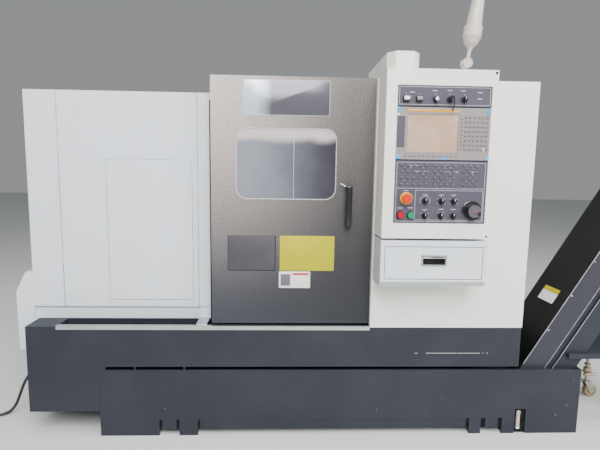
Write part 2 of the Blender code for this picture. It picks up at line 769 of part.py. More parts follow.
def make_headstock():
    outline = [(HEAD_FRONT, COVER_BOTTOM), (HEAD_BACK, COVER_BOTTOM), (HEAD_BACK, HEAD_SHOULDER),
               (HEAD_BACK - HEAD_CHAMFER, HEAD_TOP), (HEAD_FRONT + HEAD_CHAMFER, HEAD_TOP),
               (HEAD_FRONT, HEAD_TOP - HEAD_CHAMFER)]
    head = prism("headstock", outline, "X", HEAD_LEFT, HEAD_RIGHT)
    cut(head, rod("spindle_hole_tool", SPINDLE_RADIUS + SHAFT_FIT, "X", (SPINDLE_Y, SPINDLE_Z),
                  HEAD_LEFT - OVERRUN, HEAD_RIGHT + OVERRUN, LARGE_SIDES))
    painted(head, CAST_IRON)


def make_spindle():
    middle = (SPINDLE_Y, SPINDLE_Z)
    pulley_right = PULLEY_LEFT + PULLEY_WIDTH
    pitch = PULLEY_WIDTH / PULLEY_GROOVES
    profile = [(SPINDLE_BORE, PULLEY_LEFT), (PULLEY_RADIUS, PULLEY_LEFT)]
    for groove in range(PULLEY_GROOVES):
        start = PULLEY_LEFT + groove * pitch
        profile += [(PULLEY_RADIUS - PULLEY_GROOVE, start + pitch / 2), (PULLEY_RADIUS, start + pitch)]
    nose = CHUCK_LEFT - SEAT
    profile += [(SPINDLE_RADIUS, pulley_right), (SPINDLE_RADIUS, nose), (SPINDLE_BORE, nose)]
    spindle = turned("spindle", profile, "X", middle, LARGE_SIDES)
    painted(pivot(spindle, (CHUCK_LEFT, SPINDLE_Y, SPINDLE_Z)), STEEL)

    face = CHUCK_LEFT + CHUCK_LENGTH
    profile = [(CHUCK_BORE, CHUCK_LEFT), (CHUCK_RADIUS - CHUCK_EDGE, CHUCK_LEFT),
               (CHUCK_RADIUS, CHUCK_LEFT + CHUCK_EDGE), (CHUCK_RADIUS, face - CHUCK_EDGE),
               (CHUCK_RADIUS - CHUCK_EDGE, face), (CHUCK_BORE, face)]
    chuck = turned("chuck", profile, "X", middle, LARGE_SIDES)
    painted(pivot(chuck, (CHUCK_LEFT, SPINDLE_Y, SPINDLE_Z)), STEEL)

    back = face + SEAT
    first = JAW_LENGTH * JAW_STEP_SHARES[0]
    second = JAW_LENGTH * JAW_STEP_SHARES[1]
    for number in range(JAW_COUNT):
        low = SPINDLE_Z + JAW_INNER
        outline = [(back, low), (back + JAW_HEIGHT, low), (back + JAW_HEIGHT, low + first),
                   (back + JAW_HEIGHT * JAW_STEP_SHARES[1], low + first),
                   (back + JAW_HEIGHT * JAW_STEP_SHARES[1], low + second),
                   (back + JAW_HEIGHT * JAW_STEP_SHARES[0], low + second),
                   (back + JAW_HEIGHT * JAW_STEP_SHARES[0], low + JAW_LENGTH), (back, low + JAW_LENGTH)]
        jaw = prism(f"chuck_jaw_{number + 1}", outline, "Y", SPINDLE_Y - JAW_WIDTH / 2,
                    SPINDLE_Y + JAW_WIDTH / 2)
        pivot(jaw, (back, SPINDLE_Y, SPINDLE_Z))
        jaw.rotation_euler = (2 * math.pi * number / JAW_COUNT, 0, 0)
        painted(jaw, STEEL)


def saddle_outline(starts, low_along, high_along, top):
    """Plate over two ways, with its underside cut out beside them."""
    points = [on_bed(low_along, top), on_bed(low_along, WAY_HEIGHT / 2)]
    first, second = starts
    points += [on_bed(first - SLIDE_FIT, WAY_HEIGHT / 2), on_bed(first - SLIDE_FIT, CARRIAGE_LOW)]
    points += [on_bed(second + WAY_WIDTH + SLIDE_FIT, CARRIAGE_LOW),
               on_bed(second + WAY_WIDTH + SLIDE_FIT, WAY_HEIGHT / 2)]
    points += [on_bed(high_along, WAY_HEIGHT / 2), on_bed(high_along, top)]
    return points


def make_carriage():
    right = CARRIAGE_LEFT + CARRIAGE_WIDTH
    carriage = prism("carriage", saddle_outline(UPPER_WAY_STARTS, CARRIAGE_START, CARRIAGE_END,
                                                CARRIAGE_HIGH), "X", CARRIAGE_LEFT, right)
    painted(carriage, CAST_IRON)

    plate_top = CROSS_LOW + CROSS_PLATE
    housing_top = SPINDLE_OFF + TURRET_HOUSING_OVER
    outline = [on_bed(CROSS_START, CROSS_LOW), on_bed(CROSS_END, CROSS_LOW),
               on_bed(CROSS_END, plate_top), on_bed(TURRET_HOUSING_END, plate_top),
               on_bed(TURRET_HOUSING_END, housing_top - TURRET_CHAMFER),
               on_bed(TURRET_HOUSING_END - TURRET_CHAMFER, housing_top),
               on_bed(TURRET_HOUSING_START + TURRET_CHAMFER, housing_top),
               on_bed(TURRET_HOUSING_START, housing_top - TURRET_CHAMFER),
               on_bed(TURRET_HOUSING_START, plate_top), on_bed(CROSS_START, plate_top)]
    cross = prism("cross_slide", outline, "X", CARRIAGE_LEFT + SEAT, right - CROSS_INSET)
    painted(cross, CAST_IRON)

    mesh = bmesh.new()
    outline = []
    half = math.pi / TURRET_STATIONS
    flat = TURRET_RADIUS * math.cos(half)
    side = TURRET_RADIUS * math.sin(half)
    for station in range(TURRET_STATIONS):
        middle = 2 * math.pi * station / TURRET_STATIONS
        across = (-math.sin(middle), math.cos(middle))
        out = (math.cos(middle), math.sin(middle))
        slot = side * TURRET_SLOT_SHARE
        for shift, radius in ((-side, flat), (-slot, flat), (-slot, flat - TURRET_SLOT_DEPTH),
                              (slot, flat - TURRET_SLOT_DEPTH), (slot, flat)):
            outline.append((TURRET_Y + out[0] * radius + across[0] * shift,
                            TURRET_Z + out[1] * radius + across[1] * shift))
    add_prism(mesh, outline, "X", TURRET_LEFT, TURRET_RIGHT)
    disc = from_bmesh("turret_disc", mesh)
    hub = rod("turret_hub_tool", TURRET_HUB_RADIUS, "X", (TURRET_Y, TURRET_Z),
              TURRET_LEFT - TURRET_HUB_LENGTH, TURRET_LEFT + TURRET_HUB_LENGTH)
    join(disc, hub)
    painted(pivot(disc, (TURRET_RIGHT, TURRET_Y, TURRET_Z)), STEEL)


def make_tailstock():
    plate_top = CARRIAGE_LOW + TAIL_PLATE
    neck = [TAIL_START + (TAIL_END - TAIL_START) * share for share in TAIL_NECK_SHARES]
    right = TAIL_LEFT + TAIL_LENGTH
    tail = prism("tailstock", saddle_outline(LOWER_WAY_STARTS, TAIL_START, TAIL_END, plate_top),
                 "X", TAIL_LEFT, right)
    pillar = [on_bed(TAIL_START, plate_top - TAIL_PLATE / 2), on_bed(TAIL_END, plate_top - TAIL_PLATE / 2),
              on_bed(TAIL_END, plate_top), on_bed(neck[1] + (TAIL_END - neck[1]) / 2, SPINDLE_OFF),
              on_bed(neck[0], SPINDLE_OFF), on_bed(TAIL_START, plate_top)]
    join(tail, prism("tail_pillar_tool", pillar, "X", TAIL_LEFT, right))
    join(tail, rod("tail_barrel_tool", TAIL_BARREL_RADIUS, "X", (SPINDLE_Y, SPINDLE_Z),
                   TAIL_LEFT - SEAT, right + SEAT))
    cut(tail, rod("quill_hole_tool", QUILL_RADIUS + SHAFT_FIT, "X", (SPINDLE_Y, SPINDLE_Z),
                  TAIL_LEFT - OVERRUN, right + OVERRUN, LARGE_SIDES))
    painted(tail, CAST_IRON)

    shoulder = TAIL_LEFT - QUILL_OUT
    profile = [(0, shoulder - QUILL_TIP), (QUILL_TIP_RADIUS, shoulder - QUILL_TIP),
               (QUILL_RADIUS * 0.62, shoulder), (QUILL_RADIUS, shoulder),
               (QUILL_RADIUS, shoulder + QUILL_BODY), (0, shoulder + QUILL_BODY)]
    quill = turned("tailstock_quill", profile, "X", (SPINDLE_Y, SPINDLE_Z), LARGE_SIDES)
    painted(pivot(quill, (shoulder, SPINDLE_Y, SPINDLE_Z)), STEEL)


def make_left_cover():
    left = -LEFT_COVER_OVERHANG
    cover = block("left_cover", (left, COVER_FRONT, COVER_BOTTOM),
                  (LEFT_COVER_RIGHT, COVER_BACK, LEFT_COVER_TOP))
    cut(cover, block("left_hollow_tool", (left + SHEET, COVER_FRONT + BAND_RECESS + SHEET,
                                          COVER_BOTTOM - OVERRUN),
                     (LEFT_COVER_RIGHT - SHEET, COVER_BACK + OVERRUN, LEFT_COVER_TOP - SHEET)))
    cut(cover, block("band_tool", (left - OVERRUN, COVER_FRONT - OVERRUN, COVER_BOTTOM - OVERRUN),
                     (POST_LEFT, COVER_FRONT + BAND_RECESS, BAND_TOP)))
    seams = []
    for x in (SEAM_X, POST_LEFT):
        seams.append(((x - SEAM_WIDTH, COVER_FRONT - OVERRUN, BAND_TOP - OVERRUN),
                      (x, COVER_FRONT + SEAM_DEPTH, LEFT_COVER_TOP + OVERRUN)))
    cut(cover, blocks("seam_tool", seams))
    cut(cover, rod("nose_hole_tool", NOSE_HOLE_RADIUS, "X", (SPINDLE_Y, SPINDLE_Z),
                   LEFT_COVER_RIGHT - OVERRUN, LEFT_COVER_RIGHT + OVERRUN))
    painted(cover, WHITE_PAINT)

    front = COVER_FRONT - SEAT - ACCESS_THICKNESS
    outline = rounded(ACCESS_LEFT, ACCESS_BOTTOM, ACCESS_RIGHT, ACCESS_TOP, ACCESS_CORNER, 3)
    access = prism("access_panel", outline, "Y", front, front + ACCESS_THICKNESS)
    painted(access, WHITE_PAINT)

    outer = -END_COVER_LEFT
    outline = [(outer, END_COVER_BOTTOM), (-SEAT, END_COVER_BOTTOM), (-SEAT, BASE_TOP),
               (left - SEAT, BASE_TOP), (left - SEAT, END_COVER_TOP),
               (outer + END_COVER_SLOPE_WIDTH, END_COVER_TOP),
               (outer, END_COVER_TOP - END_COVER_SLOPE_HEIGHT)]
    end = prism("left_end_cover", outline, "Y", END_COVER_FRONT, END_COVER_BACK)
    inner = [(outer + SHEET, END_COVER_BOTTOM - OVERRUN), (OVERRUN, END_COVER_BOTTOM - OVERRUN),
             (OVERRUN, END_COVER_TOP - SHEET), (outer + END_COVER_SLOPE_WIDTH, END_COVER_TOP - SHEET),
             (outer + SHEET, END_COVER_TOP - END_COVER_SLOPE_HEIGHT)]
    cut(end, prism("end_hollow_tool", inner, "Y", END_COVER_FRONT + SHEET, END_COVER_BACK - SHEET))
    painted(end, WHITE_PAINT)


def make_right_cover():
    cover = block("right_cover", (RIGHT_COVER_LEFT, 0, COVER_BOTTOM),
                  (RIGHT_COVER_RIGHT, COVER_BACK, RIGHT_COVER_TOP))
    cut(cover, block("chamber_tool", (RIGHT_COVER_LEFT - OVERRUN, COVER_FRONT, COVER_BOTTOM - OVERRUN),
                     (RIGHT_COVER_RIGHT - SHEET, COVER_BACK + OVERRUN, RIGHT_COVER_TOP - SHEET)))
    cut(cover, block("front_hollow_tool", (RIGHT_COVER_LEFT + SHEET, SHEET, COVER_BOTTOM - OVERRUN),
                     (RIGHT_COVER_RIGHT - SHEET, COVER_FRONT + OVERRUN, RIGHT_COVER_TOP - SHEET)))
    painted(cover, WHITE_PAINT)


def make_roof_and_rear():
    roof = block("roof_panel", (LEFT_COVER_RIGHT + SEAT, COVER_FRONT, LEFT_COVER_TOP - ROOF_THICKNESS),
                 (RIGHT_COVER_LEFT - SEAT, COVER_BACK, LEFT_COVER_TOP))
    painted(roof, WHITE_PAINT)

    front = COVER_BACK + SEAT
    back = front + REAR_DEPTH
    outline = [(front, COVER_BOTTOM), (back, COVER_BOTTOM), (back, REAR_TOP - REAR_CHAMFER),
               (back - REAR_CHAMFER, REAR_TOP), (front, REAR_TOP)]
    rear = prism("rear_cabinet", outline, "X", -LEFT_COVER_OVERHANG, RIGHT_COVER_RIGHT)
    left = -LEFT_COVER_OVERHANG + SHEET
    right = RIGHT_COVER_RIGHT - SHEET
    inner = [(front - OVERRUN, COVER_BOTTOM + REAR_FRAME), (back - SHEET, COVER_BOTTOM + REAR_FRAME),
             (back - SHEET, REAR_TOP - REAR_CHAMFER), (back - REAR_CHAMFER, REAR_TOP - SHEET),
             (front - OVERRUN, REAR_TOP - SHEET)]
    cut(rear, prism("rear_hollow_tool", inner, "X", left, right))
    slots = []
    for left in (LOUVRE_LEFT, BASE_LENGTH - LOUVRE_LEFT - LOUVRE_LENGTH):
        for row in range(LOUVRE_COUNT):
            low = LOUVRE_BOTTOM + row * LOUVRE_PITCH
            slots.append(((left, back - LOUVRE_DEPTH, low),
                          (left + LOUVRE_LENGTH, back + OVERRUN, low + LOUVRE_HEIGHT)))
    middle = BASE_LENGTH / 2
    slots.append(((middle, back - SEAM_DEPTH, COVER_BOTTOM - OVERRUN),
                  (middle + SEAM_WIDTH, back + OVERRUN, REAR_TOP - REAR_CHAMFER)))
    cut(rear, blocks("louvre_tool", slots))
    painted(rear, WHITE_PAINT)


def make_door():
    door = block("door", (DOOR_LEFT, DOOR_FRONT, DOOR_BOTTOM), (DOOR_RIGHT, DOOR_BACK, DOOR_TOP))
    cut(door, block("door_hollow_tool",
                    (DOOR_LEFT + DOOR_RIM, DOOR_FRONT + DOOR_SHEET, DOOR_BOTTOM + DOOR_RIM),
                    (DOOR_RIGHT - DOOR_RIM, DOOR_BACK + OVERRUN, DOOR_TOP - DOOR_RIM)))
    rim = rounded(WINDOW_LEFT - WINDOW_RIM, WINDOW_BOTTOM - WINDOW_RIM, WINDOW_RIGHT + WINDOW_RIM,
                  WINDOW_TOP + WINDOW_RIM, WINDOW_CORNER + WINDOW_RIM)
    rim_back = DOOR_FRONT + GLASS_RECESS + GLASS_THICKNESS
    join(door, prism("window_rim_tool", rim, "Y", DOOR_FRONT + DOOR_SHEET / 2, rim_back))
    hole = rounded(WINDOW_LEFT, WINDOW_BOTTOM, WINDOW_RIGHT, WINDOW_TOP, WINDOW_CORNER)
    cut(door, prism("window_hole_tool", hole, "Y", DOOR_FRONT - OVERRUN, DOOR_BACK))
    under = RAIL_TOP + SEAT
    hanger = [(DOOR_BACK - DOOR_RIM, under), (RAIL_Y + RAIL_WIDTH + HANGER_LIP, under),
              (RAIL_Y + RAIL_WIDTH + HANGER_LIP, under + HANGER_THICKNESS),
              (DOOR_BACK - DOOR_RIM, under + HANGER_THICKNESS)]
    join(door, prism("hanger_tool", hanger, "X", DOOR_LEFT + DOOR_RIM, DOOR_RIGHT - DOOR_RIM))
    rim_low = under + HANGER_THICKNESS / 2
    join(door, block("hanger_root_tool", (DOOR_LEFT + DOOR_RIM / 2, DOOR_BACK - DOOR_RIM, rim_low),
                     (DOOR_RIGHT - DOOR_RIM / 2, DOOR_BACK, DOOR_TOP - DOOR_RIM / 2)))
    painted(door, DOOR_PAINT)

    pane = rounded(WINDOW_LEFT + SEAT, WINDOW_BOTTOM + SEAT, WINDOW_RIGHT - SEAT, WINDOW_TOP - SEAT,
                   WINDOW_CORNER)
    glass = prism("door_window", pane, "Y", DOOR_FRONT + GLASS_RECESS,
                  DOOR_FRONT + GLASS_RECESS + GLASS_THICKNESS)
    painted(glass, GLASS)

    back = DOOR_FRONT - SEAT
    reach = back - HANDLE_STANDOFF
    outer = HANDLE_STANDOFF * 0.8
    inner = outer - HANDLE_THICKNESS
    outside = [(back, HANDLE_BOTTOM)]
    inside = [(back, HANDLE_BOTTOM + HANDLE_THICKNESS)]
    for end, sign in ((HANDLE_BOTTOM, 1), (HANDLE_TOP, -1)):
        arc_out = []
        arc_in = []
        for step in range(HANDLE_ARC_STEPS + 1):
            angle = math.pi / 2 * step / HANDLE_ARC_STEPS
            across = math.sin(angle)
            along = math.cos(angle)
            arc_out.append((reach + outer * (1 - across), end + sign * outer * (1 - along)))
            arc_in.append((reach + outer - inner * across, end + sign * (outer - inner * along)))
        if sign < 0:
            arc_out.reverse()
            arc_in.reverse()
        outside += arc_out
        inside += arc_in
    outside.append((back, HANDLE_TOP))
    inside.append((back, HANDLE_TOP - HANDLE_THICKNESS))
    handle = prism("door_handle", outside + list(reversed(inside)), "X", HANDLE_X - HANDLE_WIDTH / 2,
                   HANDLE_X + HANDLE_WIDTH / 2)
    painted(handle, BLACK_PLASTIC)


def make_rail_and_sill():
    rail = block("door_rail", (RAIL_LEFT, RAIL_Y, LEFT_COVER_TOP + SEAT),
                 (RIGHT_COVER_LEFT - SEAT, RAIL_Y + RAIL_WIDTH, RAIL_TOP))
    painted(rail, STEEL)
    outer = -SEAT - SILL_SHEET
    low = SILL_TOP - SILL_SHEET
    outline = [(outer, SILL_TOP - SILL_HEIGHT), (-SEAT, SILL_TOP - SILL_HEIGHT), (-SEAT, low),
               (SILL_LIP - SILL_SHEET, low), (SILL_LIP - SILL_SHEET, BASE_TOP + SEAT),
               (SILL_LIP, BASE_TOP + SEAT), (SILL_LIP, SILL_TOP), (outer, SILL_TOP)]
    sill = prism("door_sill", outline, "X", TROUGH_LEFT, RIGHT_COVER_LEFT - SEAT)
    painted(sill, STAINLESS)


def make_panel():
    housing = block("panel_housing", (PANEL_LEFT, PANEL_FRONT, PANEL_BOTTOM),
                    (PANEL_RIGHT, -SEAT, PANEL_TOP))
    cut(housing, block("panel_pocket_tool", (POCKET_LEFT, PANEL_FRONT - OVERRUN, POCKET_BOTTOM),
                       (POCKET_RIGHT, PANEL_FRONT + POCKET_DEPTH, POCKET_TOP)))
    foot = [(0, PANEL_TOP - OVERRUN), (LAMP_FOOT_RADIUS, PANEL_TOP - OVERRUN),
            (LAMP_FOOT_RADIUS, PANEL_TOP + LAMP_FOOT_HEIGHT), (0, PANEL_TOP + LAMP_FOOT_HEIGHT)]
    join(housing, turned("lamp_foot_tool", foot, "Z", (LAMP_X, -LAMP_Y), SMALL_SIDES))
    pivot_z = PANEL_TOP + LAMP_PIVOT_HEIGHT
    half = LAMP_POST_WIDTH / 2
    join(housing, block("lamp_post_tool", (LAMP_X - half, -LAMP_Y, PANEL_TOP),
                        (LAMP_X + half, -LAMP_Y + LAMP_KNUCKLE_WIDTH, pivot_z)))
    join(housing, rod("lamp_ear_tool", LAMP_KNUCKLE_RADIUS, "Y", (LAMP_X, pivot_z), -LAMP_Y,
                      -LAMP_Y + LAMP_KNUCKLE_WIDTH, MEDIUM_SIDES))
    painted(housing, WHITE_PAINT)


def plate_x(share):
    return POCKET_LEFT + (POCKET_RIGHT - POCKET_LEFT) * share


def control_holes(name, places):
    """Round holes for the controls' stems, all in one tool: (x, z, stem radius)."""
    mesh = bmesh.new()
    for x, z, radius in places:
        hole = radius + STEM_FIT
        profile = [(0, PLATE_FRONT - OVERRUN), (hole, PLATE_FRONT - OVERRUN),
                   (hole, PLATE_BACK + OVERRUN), (0, PLATE_BACK + OVERRUN)]
        add_turned(mesh, profile, "Y", (x, z), SMALL_SIDES)
    return from_bmesh(name, mesh)


def make_plates():
    left = POCKET_LEFT + SEAT
    right = POCKET_RIGHT - SEAT
    low = POCKET_TOP - SEAT - SWITCH_PLATE_HEIGHT
    plate = block("switch_plate", (left, PLATE_FRONT, low), (right, PLATE_BACK, POCKET_TOP - SEAT))
    holes = [(x, TOP_ROW_Z, BUTTON_STEM) for x in PUSH_X]
    holes += [(x, TOP_ROW_Z, KNOB_STEM) for x in TOP_SELECTOR_X]
    cut(plate, control_holes("switch_holes_tool", holes))
    painted(plate, PLATE_PAINT)

    plate = block("key_panel", (left, PLATE_FRONT, KEY_PANEL_BOTTOM), (right, PLATE_BACK, KEY_PANEL_TOP))
    height = KEY_PANEL_TOP - KEY_PANEL_BOTTOM
    half = PANEL_KEY / 2
    keys = []
    for count, start in zip(KEY_GROUPS, KEY_GROUP_STARTS_SHARE):
        for column in range(count):
            x = plate_x(start + KEY_PITCH_SHARE * column)
            for row in range(KEY_ROWS):
                step = (KEY_ROW_HIGH_SHARE - KEY_ROW_LOW_SHARE) / (KEY_ROWS - 1)
                share = KEY_ROW_LOW_SHARE + step * row
                z = KEY_PANEL_BOTTOM + height * share
                keys.append(((x - half, PLATE_FRONT - KEY_RISE, z - half),
                             (x + half, PLATE_FRONT + KEY_RISE, z + half)))
    join(plate, blocks("panel_keys_tool", keys))
    collar = [(0, PLATE_FRONT - COLLAR_HEIGHT), (COLLAR_RADIUS - CONTROL_EDGE, PLATE_FRONT - COLLAR_HEIGHT),
              (COLLAR_RADIUS, PLATE_FRONT - COLLAR_HEIGHT + CONTROL_EDGE),
              (COLLAR_RADIUS, PLATE_BACK - CONTROL_EDGE), (0, PLATE_BACK - CONTROL_EDGE)]
    join(plate, turned("collar_tool", collar, "Y", (EMERGENCY_X, EMERGENCY_Z)))
    holes = [(STOP_X, LOWER_BUTTON_Z, BUTTON_STEM), (START_X, LOWER_BUTTON_Z, BUTTON_STEM),
             (EMERGENCY_X, EMERGENCY_Z, EMERGENCY_NECK), (HANDWHEEL_X, HANDWHEEL_Z, BUTTON_STEM)]
    holes += [(x, z, KNOB_STEM) for x in KNOB_X for z in KNOB_Z]
    cut(plate, control_holes("key_holes_tool", holes))
    painted(plate, PLATE_PAINT)


def make_display():
    left = POCKET_LEFT + SEAT
    right = POCKET_RIGHT - SEAT
    width = right - left
    unit = block("display_unit", (left, DISPLAY_FRONT, DISPLAY_BOTTOM), (right, PLATE_BACK, DISPLAY_TOP))
    keys = []
    half = SOFT_KEY_SIZE / 2
    z = DISPLAY_BOTTOM + DISPLAY_HEIGHT * SOFT_KEY_LIFT_SHARE
    first, last = SOFT_KEY_ROW_SHARES
    for number in range(SOFT_KEY_COUNT):
        x = left + width * (first + (last - first) * number / (SOFT_KEY_COUNT - 1))
        keys.append(((x - half, DISPLAY_FRONT - KEY_RISE, z - half),
                     (x + half, DISPLAY_FRONT + KEY_RISE, z + half)))
    x = left + width * SIDE_KEY_SHARE
    for number in range(SIDE_KEY_COUNT):
        z = SCREEN_BOTTOM + (SCREEN_TOP - SCREEN_BOTTOM) * (number + 1) / (SIDE_KEY_COUNT + 1)
        keys.append(((x - half, DISPLAY_FRONT - KEY_RISE, z - half),
                     (x + half, DISPLAY_FRONT + KEY_RISE, z + half)))
    half = MDI_KEY / 2
    for column in range(MDI_COLUMNS):
        share = MDI_LEFT_SHARE + (MDI_RIGHT_SHARE - MDI_LEFT_SHARE) * column / (MDI_COLUMNS - 1)
        x = left + width * share
        for row in range(MDI_ROWS):
            share = MDI_LOW_SHARE + (MDI_HIGH_SHARE - MDI_LOW_SHARE) * row / (MDI_ROWS - 1)
            z = DISPLAY_BOTTOM + DISPLAY_HEIGHT * share
            keys.append(((x - half, DISPLAY_FRONT - KEY_RISE, z - half),
                         (x + half, DISPLAY_FRONT + KEY_RISE, z + half)))
    join(unit, blocks("display_keys_tool", keys))
    cut(unit, block("screen_pocket_tool", (SCREEN_LEFT, DISPLAY_FRONT - OVERRUN, SCREEN_BOTTOM),
                    (SCREEN_RIGHT, DISPLAY_FRONT + SCREEN_RECESS + SCREEN_THICKNESS + SEAT, SCREEN_TOP)))
    cut(unit, block("flap_pocket_tool",
                    (FLAP_LEFT - SLIDE_FIT, DISPLAY_FRONT - OVERRUN, FLAP_BOTTOM - SLIDE_FIT),
                    (FLAP_LEFT + FLAP_WIDTH + SLIDE_FIT, DISPLAY_FRONT + FLAP_POCKET, FLAP_TOP + SLIDE_FIT)))
    painted(unit, BEZEL_GREY)

    glass_front = DISPLAY_FRONT + SCREEN_RECESS
    screen = block("display_screen", (SCREEN_LEFT + SEAT, glass_front, SCREEN_BOTTOM + SEAT),
                   (SCREEN_RIGHT - SEAT, glass_front + SCREEN_THICKNESS, SCREEN_TOP - SEAT))
    painted(screen, SCREEN_FILM)

    flap_back = DISPLAY_FRONT + FLAP_POCKET - SEAT
    hinge_y = flap_back - FLAP_THICKNESS
    flap = block("card_flap", (FLAP_LEFT, hinge_y, FLAP_BOTTOM),
                 (FLAP_LEFT + FLAP_WIDTH, flap_back, FLAP_TOP))
    painted(pivot(flap, (FLAP_LEFT, hinge_y, FLAP_BOTTOM)), PLATE_PAINT)


def round_button(name, x, z, radius, rise, stem, front, finish, back_gap):
    """Cap in front of the plate on a stem that slides in the plate's hole."""
    face = front - rise
    profile = [(0, face), (radius - CONTROL_EDGE, face), (radius, face + CONTROL_EDGE),
               (radius, front - back_gap), (stem, front - back_gap),
               (stem, front + STEM_DEPTH), (0, front + STEM_DEPTH)]
    button = turned(name, profile, "Y", (x, z), MEDIUM_SIDES)
    painted(pivot(button, (x, front, z)), finish)


def selector(name, x, z):
    """Round skirt with a grip bar across it, on a stem in the plate's hole."""
    front = PLATE_FRONT
    skirt_back = front - SLIDE_FIT / 2
    face = front - KNOB_RISE
    profile = [(0, face), (KNOB_RADIUS - CONTROL_EDGE, face), (KNOB_RADIUS, face + CONTROL_EDGE),
               (KNOB_RADIUS, skirt_back), (KNOB_STEM, skirt_back),
               (KNOB_STEM, front + STEM_DEPTH), (0, front + STEM_DEPTH)]
    knob = turned(name, profile, "Y", (x, z), SMALL_SIDES)
    bar_face = face - KNOB_BAR_RISE
    half = KNOB_BAR_WIDTH / 2
    reach = KNOB_RADIUS
    outline = [(x - half, z - reach), (x + half, z - reach), (x + half, z + reach * 0.7),
               (x, z + reach), (x - half, z + reach * 0.7)]
    bar = prism(f"{name}_bar_tool", outline, "Y", bar_face, face + KNOB_RISE / 2)
    join(knob, bar)
    painted(pivot(knob, (x, front, z)), BLACK_PLASTIC)


def make_controls():
    front = PLATE_FRONT
    travel_gap = PUSH_TRAVEL + SLIDE_FIT
    for number, x in enumerate(PUSH_X):
        half_w = PUSH_WIDTH / 2
        half_h = PUSH_HEIGHT / 2
        button = block(f"push_button_{number + 1}",
                       (x - half_w, front - travel_gap - PUSH_RISE, TOP_ROW_Z - half_h),
                       (x + half_w, front - travel_gap, TOP_ROW_Z + half_h))
        join(button, rod(f"push_stem_{number + 1}_tool", BUTTON_STEM, "Y", (x, TOP_ROW_Z),
                         front - travel_gap - PUSH_RISE / 2, front + STEM_DEPTH, SMALL_SIDES))
        painted(pivot(button, (x, front, TOP_ROW_Z)), PALE_PLASTIC)
    for number, x in enumerate(TOP_SELECTOR_X):
        selector(f"top_selector_{number + 1}", x, TOP_ROW_Z)
    number = 0
    for z in KNOB_Z:
        for x in KNOB_X:
            number += 1
            selector(f"selector_{number}", x, z)
    rise = ROUND_BUTTON_RISE + travel_gap
    round_button("stop_button", STOP_X, LOWER_BUTTON_Z, ROUND_BUTTON_RADIUS, rise, BUTTON_STEM, front,
                 RED_PLASTIC, travel_gap)
    round_button("start_button", START_X, LOWER_BUTTON_Z, ROUND_BUTTON_RADIUS, rise, BUTTON_STEM, front,
                 GREEN_PLASTIC, travel_gap)
    collar_front = front - COLLAR_HEIGHT
    round_button("emergency_button", EMERGENCY_X, EMERGENCY_Z, EMERGENCY_RADIUS, EMERGENCY_RISE,
                 EMERGENCY_NECK, collar_front, RED_PLASTIC, EMERGENCY_TRAVEL + SLIDE_FIT)

    back = front - SLIDE_FIT / 2
    grip = HANDWHEEL_RADIUS * HANDWHEEL_GRIP_SHARE
    profile = [(0, front - HANDWHEEL_RISE), (grip - CONTROL_EDGE, front - HANDWHEEL_RISE),
               (grip, front - HANDWHEEL_RISE + CONTROL_EDGE), (grip, front - HANDWHEEL_STEP),
               (HANDWHEEL_RADIUS - CONTROL_EDGE, front - HANDWHEEL_STEP),
               (HANDWHEEL_RADIUS, front - HANDWHEEL_STEP + CONTROL_EDGE), (HANDWHEEL_RADIUS, back),
               (BUTTON_STEM, back), (BUTTON_STEM, front + STEM_DEPTH), (0, front + STEM_DEPTH)]
    wheel = turned("handwheel", profile, "Y", (HANDWHEEL_X, HANDWHEEL_Z), LARGE_SIDES)
    offset = grip * CRANK_SHARE
    join(wheel, rod("crank_tool", CRANK_RADIUS, "Y", (HANDWHEEL_X + offset, HANDWHEEL_Z - offset / 2),
                    front - HANDWHEEL_RISE - CRANK_RISE, front - HANDWHEEL_RISE / 2, SMALL_SIDES))
    painted(pivot(wheel, (HANDWHEEL_X, front, HANDWHEEL_Z)), BLACK_PLASTIC)


